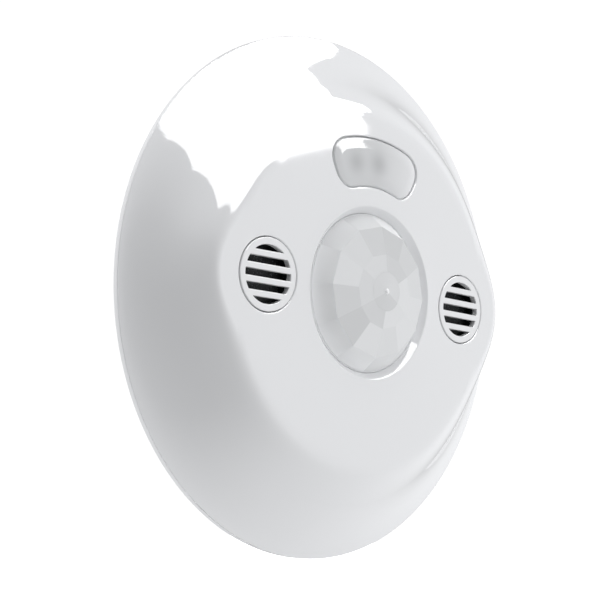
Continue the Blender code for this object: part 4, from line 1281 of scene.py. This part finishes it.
# ---------------------------------------------------------------- grilles
@dataclass
class SoundGrille:
    """One round grille with five slots, over its dark mesh screen."""

    name: str
    side: int
    shape: CoverShape = SHAPE
    radius: float = 7.55
    field_radius: float = 6.1
    pitch: float = 2.75
    slot: float = 1.5
    slots: int = 5
    slat_depth: float = 1.2
    seat: float = 2.1
    depth: float = 2.8
    flange: float = 9.0

    def slot_outlines(self) -> list[list[Point2]]:
        """Outlines of the slots, with slightly rounded corners."""
        outlines = []
        for i in range(self.slots):
            middle = (i - (self.slots - 1) / 2) * self.pitch
            low, high = middle - self.slot / 2, middle + self.slot / 2
            limit = self.field_radius * 0.992
            low, high = max(low, -limit), min(high, limit)
            start, end = math.asin(low / self.field_radius), math.asin(high / self.field_radius)
            steps = 12
            turns = [start + (end - start) * k / steps for k in range(steps + 1)]
            right = [(self.field_radius * math.cos(t), self.field_radius * math.sin(t)) for t in turns]
            corners = right + [(-x, y) for x, y in reversed(right)]
            outlines.append(self._eased(corners, 0.22))
        return outlines

    @staticmethod
    def _eased(corners: list[Point2], reach: float) -> list[Point2]:
        """Round the sharp corners of an outline by cutting each off with a short curve."""
        points = []
        count = len(corners)
        for i in range(count):
            before, here, after = (np.array(corners[j % count]) for j in (i - 1, i, i + 1))
            come, go = here - before, after - here
            lc, lg = np.linalg.norm(come), np.linalg.norm(go)
            bend = abs(come[0] * go[1] - come[1] * go[0]) / max(lc * lg, TINY)
            if bend < 0.5:
                points.append(tuple(here))
                continue
            r0, r1 = min(reach, 0.45 * lc), min(reach, 0.45 * lg)
            start, end = here - come / lc * r0, here + go / lg * r1
            for k in range(4):
                t = k / 3
                points.append(tuple((1 - t) ** 2 * start + 2 * t * (1 - t) * here + t**2 * end))
        return points

    def build(self) -> Draft:
        """Draw the grille about its own middle, with its face at height 0."""
        draft = plate(circle(self.radius, 120), -self.slat_depth, 0.0, self.slot_outlines(), 0.16)
        sleeve = [(self.field_radius, -self.slat_depth - 0.02), (self.radius, -self.slat_depth - 0.02),
                  (self.radius, -self.seat), (self.flange, -self.seat), (self.flange, -self.depth),
                  (self.field_radius, -self.depth)]
        draft.take(turned(sleeve, 0.08, 96, True, 2))
        return draft

    def dress(self, finish: bpy.types.Material, lining: bpy.types.Material) -> None:
        """Make the grille in its place on the plateau."""
        offset = self.side * self.shape.grille_offset
        tilt = self.side * math.asin(self.shape.grille_offset / self.shape.dome)
        face = self.shape.face(offset, 0.0)
        place = Matrix.Translation((offset, 0.0, face)) @ Matrix.Rotation(tilt, 4, "Y")
        self.build().moved(place).piece(f"{self.name}_sound_grille", finish, "cover", "cover_plastic",
                                        (f"{self.name}_grille",))
        low, high = -self.depth + 0.1, -self.slat_depth - 0.04
        cup = turned([(self.field_radius - 0.12, high), (self.field_radius - 0.02, high),
                      (self.field_radius - 0.02, low), (self.field_radius - 0.12, low)], 0.02, 72, True, 2)
        cup.moved(place).piece(f"{self.name}_screen_collar", lining, "cover", "screen_mesh")


# ---------------------------------------------------------------- base plate
@dataclass
class BasePlate:
    """The plate against the ceiling, with slots, wire opening, posts and stiffening ring."""

    radius: float = 50.0
    thickness: float = 2.0
    slot_circle: float = 44.45
    slot_size: Point2 = (4.8, 11.0)
    wire_size: Point2 = (26.0, 8.0)
    wire_centre: float = -39.0
    tongue_slot: Point2 = (3.0, 8.6)
    tongue_slot_circle: float = 47.4
    posts: tuple[Point2, ...] = ((27.5, 24.0), (-27.5, 24.0), (-27.5, -24.0), (27.5, -24.0))
    post_bore: float = 1.4
    post_top: float = 5.1
    rib: Point3 = (31.4, 32.6, 3.0)

    def build(self) -> Draft:
        """Draw the plate with its posts and ring."""
        holes = []
        for side in (-1, 1):
            outline = rounded_rectangle(*self.slot_size, self.slot_size[0] / 2 - 0.01, 10)
            holes.append([(x + side * self.slot_circle, y) for x, y in outline])
        holes.append([(x, y + self.wire_centre) for x, y in rounded_rectangle(*self.wire_size, 2.0)])
        reach = self.tongue_slot_circle
        for angle in (90.0, 210.0, 330.0):
            across, along = polar(1.0, angle)
            holes.append([((x + reach) * across - y * along, (x + reach) * along + y * across)
                          for x, y in rounded_rectangle(*self.tongue_slot, 0.3, 3)])
        draft = plate(circle(self.radius, 240), 0.0, self.thickness, holes, 0.35)
        bore, top, root = self.post_bore, self.post_top, self.thickness - 0.1
        for x, y in self.posts:
            post = turned([(bore, top), (2.8, top), (2.8, root), (3.3, root)], 0.2, 40)
            post.take(turned([(0.0, root + 0.2), (bore, root + 0.2), (bore, top)], 0.05, 40))
            draft.take(post.placed(x, y))
        inner, outer, crest = self.rib
        draft.take(turned([(inner, root), (inner, crest), (outer, crest), (outer, root)], 0.25, 180))
        return draft

    def dress(self) -> None:
        """Make the plate."""
        self.build().piece("ceiling_plate", MOULDED_WHITE.material(), "root", "inner_plastic", ("base_plate",))


# ---------------------------------------------------------------- the board and what stands on it
@dataclass
class BoardDetails:
    """Copper pads, small parts, leads and print on the circuit board."""

    front: float = 6.6
    can_offset: float = SHAPE.grille_offset
    can_lead: float = 2.5
    dial_pitch: float = 7.8
    dial_row: float = -13.0
    dial_leads: tuple[Point2, ...] = ((-1.6, -1.6), (1.6, -1.6), (0.0, 1.8))
    switch_row: float = 13.8
    switch_pitch: float = 2.54
    wire_pitch: float = 5.0
    chip_spots: tuple[Point3, ...] = (
        (-7.2, 6.4, 0), (-4.4, 6.4, 0), (4.6, 6.4, 0), (7.4, 6.4, 0), (-7.5, -6.2, 90), (7.4, -5.6, 90),
        (7.4, -2.6, 90), (7.4, 2.6, 90), (-20.6, 6.5, 90), (-20.6, 9.5, 90), (20.9, 9.0, 90),
        (18.4, 12.2, 0), (-17.8, 12.4, 0), (12.2, 24.2, 0), (-12.2, 24.2, 0))

    def can_spots(self) -> list[Point2]:
        """Where the leads of the two transducers meet the board."""
        return [(side * self.can_offset + end * self.can_lead, 0.0) for side in (-1, 1) for end in (-1, 1)]

    def chips(self) -> Draft:
        """Small tan capacitors and black resistors between the large parts."""
        draft = Draft()
        for x, y, degrees in self.chip_spots:
            part = block(1.7, 0.9, self.front + 0.02, self.front + 0.62, 0.05, 0.08)
            draft.take(part.placed(x, y, 0.0, degrees))
        return draft

    def chip_caps(self) -> Draft:
        """Tinned end caps of the small parts."""
        draft = Draft()
        for x, y, degrees in self.chip_spots:
            for end in (-1, 1):
                cap = block(0.4, 1.0, self.front + 0.01, self.front + 0.66, 0.05, 0.08, (end * 1.05, 0.0))
                draft.take(cap.placed(x, y, 0.0, degrees))
        return draft

    def legs(self) -> Draft:
        """Bent legs round the square chip."""
        draft = Draft()
        cx, cy, half = -13.6, 0.8, 4.5
        for quarter in range(4):
            for k in range(8):
                along = (k - 3.5) * 0.8
                for long, low, high, out in ((0.5, 0.5, 0.68, 0.24), (0.16, 0.08, 0.6, 0.45),
                                             (0.5, 0.01, 0.16, 0.7)):
                    part = block(long, 0.34, self.front + low, self.front + high, 0.02, 0.03, (half + out, along))
                    draft.take(part.placed(cx, cy, 0.0, 90.0 * quarter))
        return draft

    def print_lines(self) -> Draft:
        """White outline print round the dials, the switch and the terminals."""
        draft = Draft()
        level = self.front
        for cx, cy, width, depth in ((0.0, -13.0, 32.0, 8.2), (0.0, 13.8, 13.4, 9.4), (13.6, 0.0, 9.0, 14.0)):
            for x, y, w, d in ((cx, cy - depth / 2, width, 0.18), (cx, cy + depth / 2, width, 0.18),
                               (cx - width / 2, cy, 0.18, depth), (cx + width / 2, cy, 0.18, depth)):
                draft.take(block(w, d, level + 0.003, level + 0.03, 0.05, 0.01, (x, y)))
        return draft

    def pads(self) -> Draft:
        """Round solder pads, in a row for the terminals and in rings for the cans."""
        draft = Draft()
        spots = [(-10.0 + 5.0 * k, -24.0) for k in range(5)] + [polar(3.2, a) for a in (70.0, 190.0, 310.0)]
        spots += self.can_spots()
        for x, y in spots:
            pad = turned([(0.0, 0.12), (0.3, 0.1), (0.75, 0.02), (0.8, 0.0)], 0.05, 20)
            draft.take(pad.placed(x, y, self.front + 0.01))
        return draft

    def standoffs(self) -> Draft:
        """Short leads under the parts that stand clear of the board."""
        draft = Draft()
        spots = [polar(2.6, a) for a in (70.0, 190.0, 310.0)]
        spots += self.can_spots()
        for angle in (77.0, 103.0):
            x, y = polar(28.0, angle)
            spots += [(x - 0.9, y), (x + 0.9, y)]
        spots += [(-1.1, 28.0), (1.1, 28.0)]
        for degrees in (225.7, 314.3):
            x, y = polar(28.64, degrees)
            spots += [(x - 1.0, y), (x + 1.0, y)]
        spots += [(10.8, -5.2), (16.4, -5.2), (10.8, 5.2), (16.4, 5.2), (-16.0, -6.6), (-10.4, -6.6)]
        spots += [((i - 1.5) * self.dial_pitch + dx, self.dial_row + dy)
                  for i in range(4) for dx, dy in self.dial_leads]
        spots += [((i - 1.5) * self.switch_pitch, self.switch_row + dy) for i in range(4) for dy in (-3.0, 3.0)]
        spots += [((i - 2) * self.wire_pitch, -28.6 + dy) for i in range(5) for dy in (-2.0, 2.0)]
        for x, y in spots:
            lead = turned([(0.25, self.front + 0.31), (0.25, self.front - 0.02)], 0.01, 10)
            draft.take(lead.placed(x, y))
        return draft

    def dress(self) -> None:
        """Make the details."""
        tin = TINNED.material()
        self.chips().piece("board_chip_parts", CERAMIC.material(), "root")
        self.chip_caps().piece("board_chip_ends", tin, "root")
        self.legs().piece("microcontroller_legs", tin, "root")
        self.pads().piece("board_solder_pads", tin, "root")
        self.standoffs().piece("board_leads", tin, "root")
        self.print_lines().piece("board_print", SILK.material(), "root")


@dataclass
class CarriedNodes:
    """The nodes that keep their own shape, with softened edges and their finishes."""

    edge: float = 0.12
    sharp: float = 32.0

    def groups(self) -> dict[object, list[str]]:
        """Which nodes wear which finish."""
        dials = ["time_delay", "infrared_range", "ultrasonic_range", "daylight_level"]
        return {
            MOULDED_WHITE: ["lens_retainer"],
            SCREEN_MESH: ["left_screen", "right_screen"],
            ZINC: [f"board_screw_{i}" for i in range(1, 5)] + [f"retainer_screw_{i}" for i in range(1, 5)],
            BOARD: ["circuit_board"],
            NICKEL: ["pir_detector", "crystal"],
            FILTER: ["pir_filter"],
            ALUMINIUM: ["left_transducer", "right_transducer"],
            RUBBER: ["left_transducer_boot", "right_transducer_boot"],
            RED_RESIN: ["red_indicator"],
            GREEN_RESIN: ["green_indicator"],
            CELL_RESIN: ["daylight_sensor"],
            BLUE: [f"{name}_housing" for name in dials],
            IVORY: [f"{name}_dial" for name in dials] + [f"mode_slider_{i}" for i in range(1, 5)],
            RED: ["mode_switch_housing"],
            TERMINAL_GREEN: ["terminal_block"],
            ORANGE: [f"release_button_{i}" for i in range(1, 6)],
            EPOXY: ["microcontroller"],
            RELAY_CASE: ["relay"],
            SLEEVE: ["supply_capacitor", "filter_capacitor"],
        }

    def dress(self) -> None:
        """Give each node its finish and a small bevel."""
        for finish, names in self.groups().items():
            material = finish.material()
            for name in names:
                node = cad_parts[name]
                node.data.materials.clear()
                node.data.materials.append(material)
                bevel = node.modifiers.new("soft_edge", "BEVEL")
                bevel.width = self.edge * MM
                bevel.segments = 2
                bevel.limit_method = "ANGLE"
                bevel.angle_limit = math.radians(self.sharp)
                bevel.harden_normals = False
                LOG.info("%s wears %s", name, finish.name)


# ---------------------------------------------------------------- studio
@dataclass(frozen=True)
class SoftBox:
    """A flat studio light seen from the sensor between given directions, in degrees (azimuth, elevation)."""

    name: str
    corners: tuple[Point2, ...]
    strength: float
    distance: float = 12.0
    tint: Colour = (1.0, 1.0, 1.0)

    @staticmethod
    def direction(corner: Point2) -> Vector:
        """Unit vector of a direction; azimuth 0 leaves the face, and 90 points along +X."""
        az, el = math.radians(corner[0]), math.radians(corner[1])
        return Vector((math.sin(az) * math.cos(el), -math.cos(az) * math.cos(el), math.sin(el)))

    def build(self) -> bpy.types.Object:
        """Make the light as a glowing panel that the camera doesn't see."""
        directions = [self.direction(c) for c in self.corners]
        axis = sum(directions, Vector()).normalized()
        points = [d * (self.distance / max(d.dot(axis), 0.2)) for d in directions]
        mesh = bpy.data.meshes.new(self.name)
        mesh.from_pydata([tuple(p) for p in points], [], [tuple(range(len(points)))])
        material = bpy.data.materials.new(self.name)
        material.use_nodes = True
        tree = material.node_tree
        tree.nodes.clear()
        glow = tree.nodes.new("ShaderNodeEmission")
        glow.inputs["Color"].default_value = (*self.tint, 1.0)
        glow.inputs["Strength"].default_value = self.strength
        leave = tree.nodes.new("ShaderNodeOutputMaterial")
        link(tree, glow.outputs[0], leave.inputs["Surface"])
        mesh.materials.append(material)
        obj = bpy.data.objects.new(self.name, mesh)
        bpy.context.scene.collection.objects.link(obj)
        obj.visible_camera = False
        obj.visible_diffuse = False
        obj.visible_shadow = False
        return obj


@dataclass
class Studio:
    """Camera, surroundings, floor and soft boxes."""

    camera_azimuth: float = -44.81
    camera_elevation: float = -6.81
    camera_roll: float = 2.92
    camera_distance: float = 373.91
    camera_shift: Point2 = (-3.1, -1.89)
    target_depth: float = 0.65
    lens: float = 100.33
    surround: float = 1.5
    side_fall: float = -1.435
    front_fall: float = -0.843
    top_fall: float = -0.098
    right_fill: float = 1.15
    flag: float = 4.572
    flag_direction: Point2 = (-54.2, -8.5)
    tent_tint: Colour = (0.985, 0.99, 1.0)
    darkest: float = 0.03
    backdrop: float = 1.05
    film_width: float = 36.0
    floor_level: float = -420.0
    floor_size: float = 30.0
    floor_cells: int = 6
    boxes: tuple[SoftBox, ...] = (
        SoftBox("overhead_box", (
            (-66.0, 55.0), (-46.0, 50.5), (-42.0, 48.6), (-28.0, 47.3), (-21.0, 45.0), (-8.0, 37.8), (5.0, 32.0),
            (19.0, 28.2), (28.0, 23.0), (40.0, 14.3), (47.0, 15.8), (48.5, 26.0), (57.0, 38.5), (70.0, 42.5),
            (82.0, 48.0), (86.0, 59.0), (98.0, 58.0), (121.0, 57.0), (180.0, 60.0), (-110.0, 62.0)), 11.0),
    )

    def camera(self) -> None:
        """Place the camera."""
        az, roll = math.radians(self.camera_azimuth), math.radians(self.camera_roll)
        back = SoftBox.direction((self.camera_azimuth, self.camera_elevation))
        right = Vector((math.cos(az), math.sin(az), 0.0))
        up = back.cross(right)
        side = right * math.cos(roll) + up * math.sin(roll)
        top = -right * math.sin(roll) + up * math.cos(roll)
        place = back * self.camera_distance + side * self.camera_shift[0] + top * self.camera_shift[1]
        place += Vector((0.0, -self.target_depth, 0.0))
        data = bpy.data.cameras.new("studio_camera")
        data.lens = self.lens
        data.sensor_width = self.film_width
        data.clip_start, data.clip_end = 0.01, 50.0
        camera = bpy.data.objects.new("studio_camera", data)
        axes = Matrix((side, top, back)).transposed().to_4x4()
        camera.matrix_world = Matrix.Translation(place * MM) @ axes
        bpy.context.scene.collection.objects.link(camera)
        bpy.context.scene.camera = camera

    def surroundings(self) -> None:
        """A pale tent with a dark flag round the camera, white to the camera itself."""
        world = bpy.data.worlds.new("white_tent")
        bpy.context.scene.world = world
        world.use_nodes = True
        tree = world.node_tree
        tree.nodes.clear()
        parts = tree.nodes.new("ShaderNodeSeparateXYZ")
        link(tree, tree.nodes.new("ShaderNodeTexCoord").outputs["Generated"], parts.inputs[0])
        light = maths(tree, "MULTIPLY_ADD", parts.outputs[0], self.side_fall, self.surround)
        light = maths(tree, "MULTIPLY_ADD", parts.outputs[1], self.front_fall, light)
        light = maths(tree, "MULTIPLY_ADD", parts.outputs[2], self.top_fall, light)
        toward = SoftBox.direction(self.flag_direction)
        aim = maths(tree, "MULTIPLY", parts.outputs[0], toward.x)
        aim = maths(tree, "MULTIPLY_ADD", parts.outputs[1], toward.y, aim)
        aim = maths(tree, "MULTIPLY_ADD", parts.outputs[2], toward.z, aim)
        flag = maths(tree, "POWER", maths(tree, "MAXIMUM", aim, 0.0), 2.0)
        light = maths(tree, "MULTIPLY_ADD", flag, -self.flag, light)
        right = maths(tree, "POWER", maths(tree, "MAXIMUM", parts.outputs[0], 0.0), 4.0)
        light = maths(tree, "MULTIPLY_ADD", right, self.right_fill, light)
        path = tree.nodes.new("ShaderNodeLightPath")
        tent, sheet = tree.nodes.new("ShaderNodeBackground"), tree.nodes.new("ShaderNodeBackground")
        tent.inputs["Color"].default_value = (*self.tent_tint, 1.0)
        link(tree, maths(tree, "MAXIMUM", light, self.darkest), tent.inputs["Strength"])
        sheet.inputs["Color"].default_value = (1.0, 1.0, 1.0, 1.0)
        sheet.inputs["Strength"].default_value = self.backdrop
        mix = tree.nodes.new("ShaderNodeMixShader")
        leave = tree.nodes.new("ShaderNodeOutputWorld")
        link(tree, path.outputs["Is Camera Ray"], mix.inputs[0])
        link(tree, tent.outputs[0], mix.inputs[1])
        link(tree, sheet.outputs[0], mix.inputs[2])
        link(tree, mix.outputs[0], leave.inputs["Surface"])

    def floor(self) -> None:
        """A plain pale floor, well below the sensor."""
        mesh = bpy.data.meshes.new("studio_floor")
        size, count = self.floor_size, self.floor_cells
        points = [(size * (i / count - 0.5), size * (j / count - 0.5), self.floor_level * MM)
                  for j in range(count + 1) for i in range(count + 1)]
        faces = [(j * (count + 1) + i, j * (count + 1) + i + 1, (j + 1) * (count + 1) + i + 1,
                  (j + 1) * (count + 1) + i) for j in range(count) for i in range(count)]
        mesh.from_pydata(points, [], faces)
        canvas = Canvas("pale_floor")
        cloud = noise(canvas.tree, 2.0, 2.0)
        canvas.feed(mixed(canvas.tree, cloud, (0.93, 0.93, 0.93), (0.9, 0.9, 0.9)), "Base Color")
        canvas.set(Roughness=0.9, Specular_IOR_Level=0.1)
        path = canvas.tree.nodes.new("ShaderNodeLightPath")
        canvas.set(Emission_Color=(1.0, 1.0, 1.0, 1.0))
        canvas.feed(maths(canvas.tree, "MULTIPLY", path.outputs["Is Camera Ray"], 0.9), "Emission Strength")
        mesh.materials.append(canvas.material)
        obj = bpy.data.objects.new("studio_floor", mesh)
        bpy.context.scene.collection.objects.link(obj)
        obj.visible_diffuse = obj.visible_glossy = obj.visible_shadow = False

    def build(self) -> None:
        """Set up the whole studio."""
        self.camera()
        self.surroundings()
        self.floor()
        for box in self.boxes:
            box.build()
        bpy.context.scene.view_settings.view_transform = "Standard"


def main() -> None:
    """Build the looks of the sensor in order."""
    CoverShell().dress()
    FresnelLens().dress()
    IndicatorPane().dress()
    grille_finish, lining = GRILLE_GLOSS.material(), SCREEN_MESH.material()
    for name, side in (("left", -1), ("right", 1)):
        SoundGrille(name, side).dress(grille_finish, lining)
    BasePlate().dress()
    BoardDetails().dress()
    CarriedNodes().dress()
    Studio().build()


if __name__ == "__main__":
    main()
